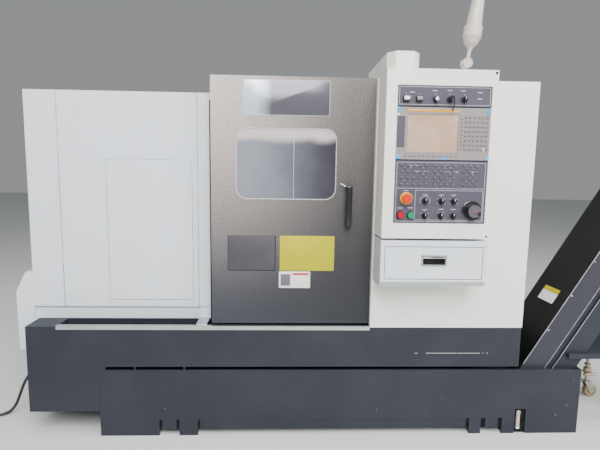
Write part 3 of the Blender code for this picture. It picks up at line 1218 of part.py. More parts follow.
def make_drawer_unit():
    bottom_back = DRAWER_UNIT_BOTTOM - DRAWER_UNIT_DROP
    outline = [(PANEL_FRONT, DRAWER_UNIT_BOTTOM), (PANEL_FRONT + DRAWER_UNIT_ROLL, bottom_back),
               (-SEAT, bottom_back), (-SEAT, DRAWER_UNIT_TOP), (PANEL_FRONT, DRAWER_UNIT_TOP)]
    unit = prism("drawer_unit", outline, "X", PANEL_LEFT, DRAWER_UNIT_RIGHT)
    cavity_back = PANEL_FRONT + DRAWER_CAVITY_DEPTH
    cut(unit, block("drawer_cavity_tool", (DRAWER_LEFT, PANEL_FRONT - OVERRUN, DRAWER_BOTTOM),
                    (DRAWER_RIGHT, cavity_back, DRAWER_TOP)))
    painted(unit, WHITE_PAINT)

    front = PANEL_FRONT
    fit = SLIDE_FIT
    face_back = front + DRAWER_FACE
    drawer = block("drawer", (DRAWER_LEFT + fit, front, DRAWER_BOTTOM + SEAT),
                   (DRAWER_RIGHT - fit, face_back, DRAWER_TOP - fit))
    tray_back = cavity_back - DRAWER_BACK_GAP
    tray_top = DRAWER_BOTTOM + DRAWER_SIDE_HEIGHT
    join(drawer, block("drawer_tray_tool", (DRAWER_LEFT + fit, face_back - DRAWER_WALL, DRAWER_BOTTOM + SEAT),
                       (DRAWER_RIGHT - fit, tray_back, tray_top)))
    cut(drawer, block("drawer_hollow_tool",
                      (DRAWER_LEFT + fit + DRAWER_WALL, face_back, DRAWER_BOTTOM + SEAT + DRAWER_WALL),
                      (DRAWER_RIGHT - fit - DRAWER_WALL, tray_back - DRAWER_WALL, tray_top + OVERRUN)))
    cut(drawer, block("pull_hole_tool", (PULL_LEFT, front - OVERRUN, PULL_BOTTOM),
                      (PULL_RIGHT, face_back + PULL_DEPTH, PULL_TOP)))
    painted(drawer, WHITE_PAINT)

    flange_front = front - SEAT - PULL_PROUD
    pull = block("drawer_pull", (PULL_LEFT - PULL_FLANGE, flange_front, PULL_BOTTOM - PULL_FLANGE),
                 (PULL_RIGHT + PULL_FLANGE, front - SEAT, PULL_TOP + PULL_FLANGE))
    join(pull, block("pull_cup_tool", (PULL_LEFT + SEAT, front - SEAT - PULL_PROUD / 2, PULL_BOTTOM + SEAT),
                     (PULL_RIGHT - SEAT, front + PULL_DEPTH, PULL_TOP - SEAT)))
    inset = SEAT + PULL_WALL
    cut(pull, block("pull_hollow_tool",
                    (PULL_LEFT + inset, flange_front - OVERRUN, PULL_BOTTOM + inset),
                    (PULL_RIGHT - inset, front + PULL_DEPTH - PULL_WALL, PULL_TOP - inset)))
    painted(pull, STAINLESS)


def make_roof_fittings():
    front = -DUCT_FRONT
    corner = front + DUCT_CHAMFER_DEPTH
    outline = [(DUCT_LEFT, DUCT_BACK), (DUCT_LEFT, corner), (DUCT_LEFT + DUCT_CHAMFER_WIDTH, front),
               (DUCT_RIGHT - DUCT_CHAMFER_WIDTH, front), (DUCT_RIGHT, corner), (DUCT_RIGHT, DUCT_BACK)]
    duct = prism("wiring_duct", outline, "Z", RIGHT_COVER_TOP + SEAT, DUCT_TOP)
    cut(duct, block("duct_step_tool", (DUCT_LEFT - OVERRUN, front - OVERRUN, RIGHT_COVER_TOP - OVERRUN),
                    (DUCT_RIGHT + OVERRUN, 0, PANEL_TOP + SEAT)))
    painted(duct, WHITE_PAINT)

    pivot_z = PANEL_TOP + LAMP_PIVOT_HEIGHT
    knuckle_back = -LAMP_Y - SEAT
    lamp = rod("signal_lamp", LAMP_KNUCKLE_RADIUS, "Y", (LAMP_X, pivot_z),
               knuckle_back - LAMP_KNUCKLE_WIDTH, knuckle_back, MEDIUM_SIDES)
    axis_y = knuckle_back - LAMP_KNUCKLE_WIDTH / 2
    cup = pivot_z + LAMP_KNUCKLE_RADIUS / 2 + LAMP_NECK_LENGTH
    lens = cup + LAMP_CUP_LENGTH
    top = lens + LAMP_LENS_LENGTH
    profile = [(0, pivot_z), (LAMP_NECK_RADIUS * 0.65, pivot_z),
               (LAMP_NECK_RADIUS * 0.65, cup - LAMP_NECK_RADIUS), (LAMP_NECK_RADIUS, cup),
               (LAMP_CUP_RADIUS * 0.7, cup + LAMP_CUP_LENGTH * 0.18),
               (LAMP_CUP_RADIUS, cup + LAMP_CUP_LENGTH * 0.5), (LAMP_CUP_RADIUS, lens),
               (LAMP_LENS_RADIUS, lens), (LAMP_LENS_TOP_RADIUS, top - LAMP_DOME),
               (LAMP_LENS_TOP_RADIUS * 0.8, top - LAMP_DOME * 0.25), (0, top)]
    join(lamp, turned("lamp_body_tool", profile, "Z", (LAMP_X, axis_y), MEDIUM_SIDES))
    hinge = (LAMP_X, knuckle_back, pivot_z)
    body_tool = bpy.data.objects["lamp_body_tool"]
    pivot(body_tool, hinge)
    body_tool.rotation_euler = (0, LAMP_LEAN, 0)
    painted(pivot(lamp, hinge), PALE_PLASTIC)


SLOPE_X = math.cos(CONVEYOR_ANGLE)
SLOPE_Z = math.sin(CONVEYOR_ANGLE)


def conveyor_at_height(depth, z):
    """Point (x, z) of the conveyor's slope at a depth under its top line."""
    start_x = CONVEYOR_TOP_X + depth * SLOPE_Z
    start_z = CONVEYOR_TOP_Z - depth * SLOPE_X
    return (start_x + (z - start_z) * SLOPE_X / SLOPE_Z, z)


def make_conveyor():
    head_right = conveyor_at_height(0, HEAD_HEIGHT)[0] + HEAD_LENGTH
    head_low = HEAD_HEIGHT - HEAD_DROP
    plate_depth = SHEET + SEAT
    skin = HEAD_HEIGHT
    outline = [(RUN_LEFT, RUN_FLOOR), conveyor_at_height(CONVEYOR_THICKNESS, RUN_FLOOR),
               conveyor_at_height(CONVEYOR_THICKNESS, head_low), (head_right, head_low),
               (head_right, skin), conveyor_at_height(plate_depth, skin),
               conveyor_at_height(plate_depth, RUN_TOP), (RUN_LEFT, RUN_TOP)]
    inner_front = CONVEYOR_FRONT + CONVEYOR_INSET
    inner_back = CONVEYOR_BACK - CONVEYOR_INSET
    body = prism("conveyor_body", outline, "Y", inner_front, inner_back)
    band = [conveyor_at_height(SIDE_PLATE_START, RUN_TOP),
            conveyor_at_height(CONVEYOR_THICKNESS, RUN_TOP / 2),
            conveyor_at_height(CONVEYOR_THICKNESS, head_low),
            conveyor_at_height(SIDE_PLATE_START, head_low)]
    join(body, prism("side_plate_tool", band, "Y", CONVEYOR_FRONT, CONVEYOR_BACK))
    head = [conveyor_at_height(SIDE_PLATE_START, head_low), (head_right, head_low),
            (head_right, skin), conveyor_at_height(SIDE_PLATE_START, skin)]
    join(body, prism("head_tool", head, "Y", CONVEYOR_FRONT, CONVEYOR_BACK))
    chute_left = head_right - CHUTE_WIDTH
    chute_low = head_low - CHUTE_DROP
    join(body, block("chute_tool", (chute_left, CONVEYOR_FRONT, chute_low),
                     (head_right, CONVEYOR_BACK, head_low + OVERRUN)))
    runners = []
    for y in (inner_front, inner_back - RUNNER_WIDTH):
        runners.append(((RUN_LEFT, y, TANK_FLOOR + SHEET + SEAT),
                        (conveyor_at_height(CONVEYOR_THICKNESS, RUN_FLOOR)[0] - SHEET,
                         y + RUNNER_WIDTH, RUN_FLOOR + OVERRUN)))
    join(body, blocks("runner_tool", runners))
    join(body, block("support_tool", (SUPPORT_LEFT, SUPPORT_FRONT, SUPPORT_TOP - SUPPORT_DEPTH),
                     (SUPPORT_RIGHT, SUPPORT_BACK, SUPPORT_TOP)))
    cut(body, block("inlet_tool", (RUN_LEFT + INLET_INSET, inner_front + INLET_INSET, INLET_FLOOR),
                    (INLET_RIGHT, inner_back - INLET_INSET, RUN_TOP + OVERRUN)))
    motor_x = head_right - MOTOR_INSET
    motor_z = HEAD_HEIGHT - MOTOR_LIFT
    join(body, rod("motor_tool", MOTOR_RADIUS, "Y", (motor_x, motor_z), CONVEYOR_BACK - OVERRUN,
                   CONVEYOR_BACK + MOTOR_LENGTH))
    mouth_top = HEAD_HEIGHT - CHUTE_WALL
    cut(body, block("mouth_tool", (chute_left + CHUTE_WALL, CONVEYOR_FRONT + CHUTE_WALL, chute_low - OVERRUN),
                    (head_right - CHUTE_WALL, CONVEYOR_BACK - CHUTE_WALL, mouth_top)))
    join(body, rod("shaft_tool", MOTOR_RADIUS / 4, "Y", (motor_x, motor_z), CONVEYOR_FRONT + CHUTE_WALL / 2,
                   CONVEYOR_BACK, SMALL_SIDES))
    painted(body, DARK_PAINT)

    cover_top = HEAD_HEIGHT
    shell = [conveyor_at_height(0, COVER_LOWER_END), conveyor_at_height(COVER_FLANGE, COVER_LOWER_END),
             conveyor_at_height(COVER_FLANGE, cover_top), conveyor_at_height(0, cover_top)]
    cover = prism("conveyor_cover", shell, "Y", CONVEYOR_FRONT, CONVEYOR_BACK)
    hollow = [conveyor_at_height(SHEET, COVER_LOWER_END - OVERRUN),
              conveyor_at_height(COVER_FLANGE + OVERRUN, COVER_LOWER_END - OVERRUN),
              conveyor_at_height(COVER_FLANGE + OVERRUN, cover_top + OVERRUN),
              conveyor_at_height(SHEET, cover_top + OVERRUN)]
    cut(cover, prism("cover_hollow_tool", hollow, "Y", inner_front - SEAT, inner_back + SEAT))
    painted(cover, CONVEYOR_SHADE)


def make_casters():
    floor = SUPPORT_TOP - SUPPORT_DEPTH
    for name, y in (("front", SUPPORT_FRONT + CASTER_INSET), ("rear", SUPPORT_BACK - CASTER_INSET)):
        inner = WHEEL_WIDTH / 2 + FORK_GAP
        outer = inner + FORK_PLATE
        x = SUPPORT_CASTER_X
        axle_x = x + FORK_TRAIL
        cheek = [(axle_x - FORK_HALF_LENGTH / 2, WHEEL_RADIUS - FORK_HALF_LENGTH / 2),
                 (axle_x + FORK_HALF_LENGTH / 2, WHEEL_RADIUS - FORK_HALF_LENGTH / 2),
                 (axle_x + FORK_HALF_LENGTH, WHEEL_RADIUS + FORK_HALF_LENGTH / 2),
                 (x + FORK_HALF_LENGTH, FORK_CROWN), (x - FORK_HALF_LENGTH, FORK_CROWN),
                 (axle_x - FORK_HALF_LENGTH, WHEEL_RADIUS + FORK_HALF_LENGTH / 2)]
        fork = prism(f"caster_fork_{name}", cheek, "Y", y - outer, y + outer)
        cut(fork, block(f"fork_{name}_tool", (x - FORK_HALF_LENGTH * 2, y - inner, -OVERRUN),
                        (axle_x + WHEEL_RADIUS, y + inner, FORK_CROWN - FORK_PLATE)))
        join(fork, rod(f"axle_{name}_tool", WHEEL_BORE - SHAFT_FIT, "Y", (axle_x, WHEEL_RADIUS),
                       y - outer, y + outer, SMALL_SIDES))
        stem = [(0, FORK_CROWN - FORK_PLATE), (CASTER_STEM_RADIUS, FORK_CROWN - FORK_PLATE),
                (CASTER_STEM_RADIUS, floor - FORK_PLATE), (CASTER_SEAT_RADIUS, floor - FORK_PLATE),
                (CASTER_SEAT_RADIUS, floor - SEAT), (0, floor - SEAT)]
        join(fork, turned(f"stem_{name}_tool", stem, "Z", (x, y), SMALL_SIDES))
        painted(pivot(fork, (x, y, floor)), STEEL)

        half = WHEEL_WIDTH / 2
        profile = [(WHEEL_BORE, y - half), (WHEEL_RADIUS * 0.92, y - half), (WHEEL_RADIUS, y - half * 0.6),
                   (WHEEL_RADIUS, y + half * 0.6), (WHEEL_RADIUS * 0.92, y + half), (WHEEL_BORE, y + half)]
        wheel = turned(f"caster_wheel_{name}", profile, "Y", (axle_x, WHEEL_RADIUS), MEDIUM_SIDES)
        painted(pivot(wheel, (axle_x, y, WHEEL_RADIUS)), URETHANE)


def smooth_route(points, samples):
    """Points of one smooth curve through the route's own points, spaced evenly."""
    ends = [2 * Vector(points[0]) - Vector(points[1])] + [Vector(p) for p in points]
    ends.append(2 * Vector(points[-1]) - Vector(points[-2]))
    spans = len(points) - 1
    dense = []
    steps = samples * 4
    for step in range(steps + 1):
        place = spans * step / steps
        index = min(int(place), spans - 1)
        t = place - index
        a, b, c, d = ends[index:index + 4]
        dense.append(0.5 * (2 * b + (c - a) * t + (2 * a - 5 * b + 4 * c - d) * t * t
                            + (3 * b - a - 3 * c + d) * t * t * t))
    lengths = [0.0]
    for before, after in zip(dense, dense[1:]):
        lengths.append(lengths[-1] + (after - before).length)
    even = []
    index = 0
    for number in range(samples + 1):
        target = lengths[-1] * number / samples
        while index < len(dense) - 2 and lengths[index + 1] < target:
            index += 1
        span = lengths[index + 1] - lengths[index]
        even.append(dense[index].lerp(dense[index + 1], (target - lengths[index]) / span))
    return even


def make_cable():
    coil_side = COIL_X + COIL_MEAN_RADIUS + COIL_BAND / 2
    route = [(-GLAND_LENGTH - SEAT, GLAND_Y, GLAND_Z), *CABLE_ROUTE]
    route.append((coil_side + SEAT, COIL_Y, CABLE_RADIUS))
    points = smooth_route(route, CABLE_SAMPLES)
    data = bpy.data.curves.new("supply_cable", "CURVE")
    data.dimensions = "3D"
    data.bevel_depth = CABLE_RADIUS
    data.bevel_resolution = 2
    data.use_fill_caps = True
    spline = data.splines.new("POLY")
    spline.points.add(len(points) - 1)
    for target, point in zip(spline.points, points):
        target.co = (*point, 1)
    cable = bpy.data.objects.new("supply_cable", data)
    bpy.context.scene.collection.objects.link(cable)
    cable.parent = root
    painted(cable, CABLE_BLACK)

    inner = COIL_MEAN_RADIUS - COIL_BAND / 2
    outer = COIL_MEAN_RADIUS + COIL_BAND / 2
    profile = [(inner, 0), (outer, 0), (outer, COIL_HEIGHT), (inner, COIL_HEIGHT)]
    coil = turned("supply_cable_coil", profile, "Z", (COIL_X, COIL_Y), MEDIUM_SIDES)
    painted(coil, CABLE_BLACK)

    plug_start = COIL_Y + outer + SEAT
    neck = plug_start + PLUG_LENGTH * 0.3
    shoulder = plug_start + PLUG_LENGTH * 0.4
    end = plug_start + PLUG_LENGTH
    profile = [(0, plug_start), (PLUG_NECK_RADIUS, plug_start), (PLUG_NECK_RADIUS, neck),
               (PLUG_RADIUS, shoulder), (PLUG_RADIUS, end), (0, end)]
    plug = turned("supply_plug", profile, "Y", (COIL_X, PLUG_RADIUS), MEDIUM_SIDES)
    painted(plug, BLACK_PLASTIC)


make_base()
make_tank()
make_bed()
make_headstock()
make_spindle()
make_carriage()
make_tailstock()
make_left_cover()
make_right_cover()
make_roof_and_rear()
make_door()
make_rail_and_sill()
make_panel()
make_plates()
make_display()
make_controls()
make_drawer_unit()
make_roof_fittings()
make_conveyor()
make_casters()
make_cable()
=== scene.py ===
import math

import bpy
from mathutils import Matrix, Vector


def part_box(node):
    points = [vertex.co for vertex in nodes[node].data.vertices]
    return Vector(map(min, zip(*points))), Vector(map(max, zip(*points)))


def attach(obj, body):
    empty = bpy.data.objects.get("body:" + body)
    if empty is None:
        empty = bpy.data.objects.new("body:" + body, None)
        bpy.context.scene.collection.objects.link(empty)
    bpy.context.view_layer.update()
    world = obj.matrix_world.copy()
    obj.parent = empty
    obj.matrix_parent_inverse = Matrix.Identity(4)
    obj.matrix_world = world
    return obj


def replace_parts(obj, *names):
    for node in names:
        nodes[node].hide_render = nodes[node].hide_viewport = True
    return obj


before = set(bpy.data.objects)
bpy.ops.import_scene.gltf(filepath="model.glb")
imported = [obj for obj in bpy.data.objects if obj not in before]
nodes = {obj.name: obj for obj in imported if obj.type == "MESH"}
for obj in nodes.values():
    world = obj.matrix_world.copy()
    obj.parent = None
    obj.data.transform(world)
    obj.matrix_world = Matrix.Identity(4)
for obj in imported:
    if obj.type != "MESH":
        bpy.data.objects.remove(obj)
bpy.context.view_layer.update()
print("frame loaded:", len(nodes), "nodes")


def toLinear(hexText):  # sRGB hex to the linear colour that the shader wants
    parts = [int(hexText[i:i + 2], 16) / 255 for i in (1, 3, 5)]
    return [c / 12.92 if c <= 0.04045 else ((c + 0.055) / 1.055) ** 2.4 for c in parts] + [1.0]


def addNode(tree, kind, inputs=None, **settings):  # one node with its settings, values and links
    node = tree.nodes.new(kind)
    for key, value in settings.items():
        setattr(node, key, value)
    for socket, value in (inputs or {}).items():
        if isinstance(value, bpy.types.NodeSocket):
            tree.links.new(value, node.inputs[socket])
        else:
            node.inputs[socket].default_value = value
    return node


# camera, light and floor
cameraLook = {"place": (-0.2946, -2.2938, 1.2339), "yaw": 0.0376, "pitch": 0.1192, "roll": 0.0151,
              "lens": 26.92, "sensor": 36.0, "near": 0.05, "far": 60.0}


def aimCamera(look):
    yaw, pitch, roll = look["yaw"], look["pitch"], look["roll"]
    ahead = Vector((math.sin(yaw) * math.cos(pitch), math.cos(yaw) * math.cos(pitch), -math.sin(pitch)))
    side = Vector((math.cos(yaw), -math.sin(yaw), 0.0))
    above = side.cross(ahead)
    right = math.cos(roll) * side + math.sin(roll) * above
    up = -math.sin(roll) * side + math.cos(roll) * above
    turn = Matrix((right, up, -ahead)).transposed().to_4x4()
    data = bpy.data.cameras.new("camera")
    data.lens = look["lens"]
    data.sensor_width = look["sensor"]
    data.clip_start, data.clip_end = look["near"], look["far"]
    camera = bpy.data.objects.new("camera", data)
    bpy.context.scene.collection.objects.link(camera)
    camera.matrix_world = Matrix.Translation(look["place"]) @ turn
    bpy.context.scene.camera = camera


aimCamera(cameraLook)

studio = {"floor": "#c9cbc9", "floorRough": 0.75, "floorSize": 40, "floorLevel": -0.0005,
          "backdrop": "#d9dcdf", "ambient": 0.42,
          "lamps": (("softTop", (-0.3, -1.2, 4.6), (0.0, 0.1, 0.8), 5.0, 225.0),
                    ("softFront", (0.1, -5.2, 4.9), (0.0, 0.0, 0.9), 3.6, 690.0),
                    ("softRight", (4.6, -3.2, 2.6), (0.4, 0.0, 0.9), 3.0, 225.0))}


def setStudio(look):
    for name, place, target, size, power in look["lamps"]:
        light = bpy.data.lights.new(name, "AREA")
        light.shape = "SQUARE"
        light.size = size
        light.energy = power
        lamp = bpy.data.objects.new(name, light)
        bpy.context.scene.collection.objects.link(lamp)
        lamp.location = place
        lamp.rotation_euler = (Vector(target) - Vector(place)).to_track_quat("-Z", "Y").to_euler()
    world = bpy.data.worlds.new("studio")
    world.use_nodes = True
    world.node_tree.nodes.clear()
    glow = addNode(world.node_tree, "ShaderNodeBackground",
                   {"Color": toLinear(look["backdrop"]), "Strength": look["ambient"]})
    addNode(world.node_tree, "ShaderNodeOutputWorld", {"Surface": glow.outputs["Background"]})
    bpy.context.scene.world = world
    bpy.ops.mesh.primitive_plane_add(size=look["floorSize"], location=(0, 0, look["floorLevel"]))
    floor = bpy.context.object
    floor.name = "floor"
    floor.data.materials.append(plainSurface("paleFloor", look["floor"], look["floorRough"])[0])


# material builders
def plainSurface(name, colour, rough, metallic=0.0, **more):
    material = bpy.data.materials.new(name)
    material.use_nodes = True
    tree = material.node_tree
    shader = tree.nodes["Principled BSDF"]
    values = {"Base Color": toLinear(colour), "Roughness": rough, "Metallic": metallic, **more}
    for key, value in values.items():
        shader.inputs[key].default_value = value
    return material, tree, shader


setStudio(studio)
print("camera, light and floor set")


def placeIn(tree):  # the Object coordinates, whole and by axis
    place = addNode(tree, "ShaderNodeTexCoord").outputs["Object"]
    return place, addNode(tree, "ShaderNodeSeparateXYZ", {"Vector": place}).outputs


def noiseAt(tree, place, size, detail, **more):  # noise with a grain so many millimetres wide
    values = {"Vector": place, "Scale": 1000 / size, "Detail": detail, **more}
    return addNode(tree, "ShaderNodeTexNoise", values).outputs["Fac"]


def ramp(tree, value, low, high, least=0.0, most=1.0, kind="LINEAR"):
    values = {"Value": value, "From Min": low, "From Max": high, "To Min": least, "To Max": most}
    return addNode(tree, "ShaderNodeMapRange", values, interpolation_type=kind).outputs["Result"]


def reckon(tree, operation, *values):
    return addNode(tree, "ShaderNodeMath", dict(enumerate(values)), operation=operation).outputs["Value"]


def blend(tree, share, first, second):  # the second colour over the first, each a hex text or a socket
    first, second = (toLinear(c) if isinstance(c, str) else c for c in (first, second))
    return addNode(tree, "ShaderNodeMix", {"Factor": share, 6: first, 7: second}, data_type="RGBA").outputs[2]


coatGrain = {  # what the coats share, sizes in mm
    "peel": (1.0, 0.01), "peelStrength": 0.6, "dustDetail": 6.0, "dustRough": 0.62, "dustFrom": 0.42,
    "dustTo": 0.72, "fleckFrom": 0.35, "fleckTo": 0.65, "chipRagged": 9, "chipZone": 420, "chipFrom": 0.28,
    "chipTo": 0.42, "primer": "#d9d6cf"}


def bakedPaint(name, **look):
    # one coat: peel (size and depth in mm), dust (colour, size in mm, amount), chips where it was knocked
    grain = coatGrain
    material, tree, shader = plainSurface(name, look["colour"], look["rough"], look.get("metallic", 0.0),
                                          **{"IOR": 1.5, "Specular IOR Level": look.get("gleam", 0.5)})
    place, axes = placeIn(tree)
    peelSize, peelDepth = look.get("peel", grain["peel"])
    dustColour, dustSize, dustAmount = look["dust"]
    peel = {"Height": noiseAt(tree, place, peelSize, 2.0), "Distance": peelDepth / 1000,
            "Strength": grain["peelStrength"]}
    tree.links.new(addNode(tree, "ShaderNodeBump", peel).outputs["Normal"], shader.inputs["Normal"])
    cloud = noiseAt(tree, place, dustSize, grain["dustDetail"], Roughness=grain["dustRough"])
    dust = ramp(tree, cloud, grain["dustFrom"], grain["dustTo"], most=dustAmount)
    colour = blend(tree, dust, look["colour"], dustColour)
    # painted reflection: top= pales the colour towards the top, standing in for the light the metallic coat
    # mirrors there
    if "top" in look:  # paint that pales towards the top, as a misted metallic coat does
        top, low, high = look["top"]
        colour = blend(tree, ramp(tree, axes["Z"], low, high, kind="SMOOTHSTEP"), colour, top)
    if "shade" in look:  # and darkens away from the side that the light rakes
        # painted shade: shade= darkens the colour away from the lit side
        shade, first, last, amount = look["shade"]
        colour = blend(tree, ramp(tree, axes["X"], first, last, 0.0, amount, "SMOOTHSTEP"), colour, shade)
    # painted light and shade: faces in front of the given y, the lit side flange, take a lighter colour than
    # the shaded face behind
    if "side" in look:  # the folded side flange wears the lighter coat of the trunk
        side, front = look["side"]
        colour = blend(tree, reckon(tree, "LESS_THAN", axes["Y"], front), colour, side)
    if "fleck" in look:  # metal flake in the coat, drawn coarser than the real 0.1 mm so that it shows
        amount, size = look["fleck"]
        spread = ramp(tree, noiseAt(tree, place, size, 1.0), grain["fleckFrom"], grain["fleckTo"], 1 - amount,
                      1 + amount)
        flecked = addNode(tree, "ShaderNodeVectorMath", {0: colour, "Scale": spread}, operation="SCALE")
        colour = flecked.outputs["Vector"]
    if "chips" in look:
        size, spacing = look["chips"]
        spots = addNode(tree, "ShaderNodeTexVoronoi",
                        {"Vector": place, "Scale": 1000 / spacing, "Randomness": 1.0})
        ragged = noiseAt(tree, place, grain["chipRagged"], 4.0)
        reach = reckon(tree, "MULTIPLY", ragged, noiseAt(tree, place, grain["chipZone"], 1.0))
        edge = ramp(tree, reach, grain["chipFrom"], grain["chipTo"], most=size / spacing)
        inside = reckon(tree, "LESS_THAN", spots.outputs["Distance"], edge)
        colour = blend(tree, inside, colour, grain["primer"])
    tree.links.new(colour, shader.inputs["Base Color"])
    return material


def tintedPane(name, look):
    # laminated pane that holds back the inside; its colour carries a mottled painted reflection, paler
    # towards the left and palest at its upper edge
    coats = {"IOR": 1.5, "Transmission Weight": look["clear"], "Coat Weight": look["coat"],
             "Coat Roughness": look["coatRough"]}
    material, tree, shader = plainSurface(name, look["low"], look["rough"], **coats)
    place, axes = placeIn(tree)
    reflectionMottle = noiseAt(tree, place, look["reflectionMottleSize"], 2.0)
    shift = reckon(tree, "MULTIPLY_ADD", reflectionMottle, look["reflectionShift"], axes["Z"])
    film = ramp(tree, shift, look["reflectionLow"], look["reflectionHigh"], kind="SMOOTHSTEP")
    drift = reckon(tree, "MULTIPLY_ADD", reflectionMottle, look["reflectionSlant"], axes["X"])
    cloud = ramp(tree, drift, look["reflectionDimX"], look["reflectionBrightX"], kind="SMOOTHSTEP")
    tree.links.new(blend(tree, film, blend(tree, cloud, look["low"], look["midReflection"]), look["top"]),
                   shader.inputs["Base Color"])
    return material


def namePlateFilm(name, look):
    # glossy charcoal foil with a painted reflection: bright silver at the left, fading to charcoal at the
    # right
    material, tree, shader = plainSurface(name, look["colour"], look["rough"], look["metallic"], IOR=1.5)
    tone = ramp(tree, placeIn(tree)[1]["X"], *look["reflectionFade"])
    tree.links.new(blend(tree, tone, look["paintedSilverReflection"], look["charcoal"]), shader.inputs["Base Color"])
    return material

whiteEnamel = bakedPaint("whiteBakedEnamel",  # enamel on sheet: satin, takes soft, broad highlights
    colour="#cdd3db", rough=0.36, peel=(3.0, 0.05), dust=("#c9c8c2", 240, 0.35))
# the same white coat, warmer, and painted lighter as painted light for the better-lit right-hand parts
warmLitEnamel = bakedPaint("warmWhiteEnamelPaintedLit",  # the same coat a batch warmer
    colour="#e2dfd8", rough=0.38, peel=(3.0, 0.05), dust=("#cfcbc0", 200, 0.35))
darkEnamel = bakedPaint("slateTexturedPaint",  # textured blue-grey paint, chipped to primer
    colour="#20232c", rough=0.5, gleam=0.35, peel=(2.2, 0.12), dust=("#2e313a", 260, 0.5), chips=(2.4, 40))
# the door's top= is a painted reflection that pales it upward, and shade= a painted shade that darkens it
# towards the right
doorPaint = bakedPaint("charcoalHammerPaintLitAndShaded",  # metallic charcoal with a grain that the light catches
    colour="#303239", rough=0.42, gleam=0.4, peel=(2.6, 0.12), dust=("#3b3b43", 300, 0.4),
    top=("#b9aea6", 0.55, 1.75), shade=("#1d1e23", -0.66, 0.06, 0.78), fleck=(0.34, 5.0))
coverPlatePaint = bakedPaint("charcoalPlatePaint",  # the plain satin charcoal of the blanking plate
    colour="#3d3a40", rough=0.45, gleam=0.4, peel=(2.6, 0.08), dust=("#4a454a", 120, 0.5))
# the lid's near-black is black-green paint and partly painted shade from the machine beside it; side= paints
# the front flange lighter, as lit
conveyorLidAndShade = bakedPaint("blackGreenPaintAndShade",  # satin black-green paint on the conveyor's lid
    colour="#0c0f0e", rough=0.42, gleam=0.3, peel=(2.6, 0.08), dust=("#171a19", 160, 0.5),
    side=("#2f2f36", -0.279))
castIron = bakedPaint("greyCastIron",  # machined grey iron, matt and dark
    colour="#55585a", rough=0.55, metallic=0.5, peel=(1.4, 0.1), dust=("#47494a", 90, 0.5))
groundSteel = bakedPaint("groundSteel",  # turned and ground steel, a tight bright gloss
    colour="#a9abad", rough=0.28, metallic=1.0, peel=(1.0, 0.02), dust=("#8f9193", 60, 0.3))
brushedSteel = bakedPaint("brushedStainless",  # brushed stainless, pale and softly clouded
    colour="#c4c8c6", rough=0.3, metallic=1.0, peel=(1.6, 0.02), dust=("#a9ada8", 70, 0.5))
zincPlate = bakedPaint("zincPlatedSteel",  # yellowed zinc on pressed steel
    colour="#b5b1a4", rough=0.35, metallic=0.9, peel=(1.5, 0.03), dust=("#8c8676", 20, 0.6))
plateFilm = bakedPaint("mattPolyesterFilm",  # printed matt film on the key plates
    colour="#423e4a", rough=0.5, gleam=0.4, peel=(0.8, 0.01), dust=("#4a4652", 60, 0.4))
bezelPlastic = bakedPaint("greyMouldedPlastic",  # moulded grey plastic with a fine spark texture
    colour="#7f7878", rough=0.5, peel=(0.9, 0.02), dust=("#787272", 70, 0.4))
screenFilm = bakedPaint("protectedScreenFilm",  # a pale matt film that scatters the light
    colour="#a58872", rough=0.32, peel=(40, 0.02), dust=("#bfa898", 110, 0.7))
blackPlastic = bakedPaint("blackNylon",  # glossy moulded nylon, with white gleams on its rounds
    colour="#161719", rough=0.28, peel=(1.5, 0.01), dust=("#232426", 15, 0.4))
lampGlass = bakedPaint("opalPolycarbonate",  # opal lens and cup, greyer than the housings
    colour="#b9b0a6", rough=0.25, peel=(1.5, 0.01), dust=("#a1988d", 45, 0.5))
redPlastic = bakedPaint("redButtonPlastic",  # glossy red cap
    colour="#9c0014", rough=0.3, dust=("#8e0718", 10, 0.3))
stopPlastic = bakedPaint("orangeRedPlastic",  # mushroom cap bleached to orange-red
    colour="#c2220a", rough=0.36, dust=("#b42a14", 12, 0.4))
greenPlastic = bakedPaint("greenButtonPlastic",  # glossy green cap
    colour="#007a50", rough=0.3, dust=("#087a54", 10, 0.3))
wheelPlastic = bakedPaint("brownUrethane",  # cast urethane tyre, dusty tan
    colour="#8a7657", rough=0.55, peel=(2.0, 0.03), dust=("#6d6350", 18, 0.6))
cableRubber = bakedPaint("blackPvcJacket",  # extruded black jacket with a dull sheen
    colour="#17181a", rough=0.45, peel=(1.2, 0.02), dust=("#3a3a38", 30, 0.5))
yellowPlastic = bakedPaint("yellowPlastic",  # glossy moulded yellow
    colour="#d09400", rough=0.35, dust=("#c08a00", 12, 0.4))
yellowFoil = bakedPaint("yellowVinylFoil",  # vinyl foil stuck on, slightly uneven
    colour="#aca500", rough=0.5, gleam=0.3, peel=(18, 0.08), dust=("#a39c08", 35, 0.6))
whiteFoil = bakedPaint("whiteVinylFoil",  # white vinyl foil, matt
    colour="#dcdcd8", rough=0.45, peel=(18, 0.06), dust=("#c6c6c2", 25, 0.5))
redFoil = bakedPaint("redVinylFoil",  # a printed red band
    colour="#b8303a", rough=0.45, peel=(18, 0.05), dust=("#a33a40", 25, 0.4))
blueTape = bakedPaint("blueMaskingTape",  # creped paper tape left at the corners
    colour="#2b86b8", rough=0.6, peel=(1.5, 0.08), dust=("#7fb6cf", 12, 0.5))
amberFilm = bakedPaint("amberTransportFilm",  # a strip of transport film over the screen
    colour="#bf8800", rough=0.3, peel=(9, 0.1), dust=("#b99b22", 28, 0.7))
printInk = bakedPaint("paleScreenInk",  # pale screen print on the key plates
    colour="#c9c6cf", rough=0.5, dust=("#b3b0ba", 14, 0.6))
keySignInk = bakedPaint("dimScreenInk",  # rubbed print on the keys
    colour="#a09ca8", rough=0.5, dust=("#8a8593", 10, 0.5))
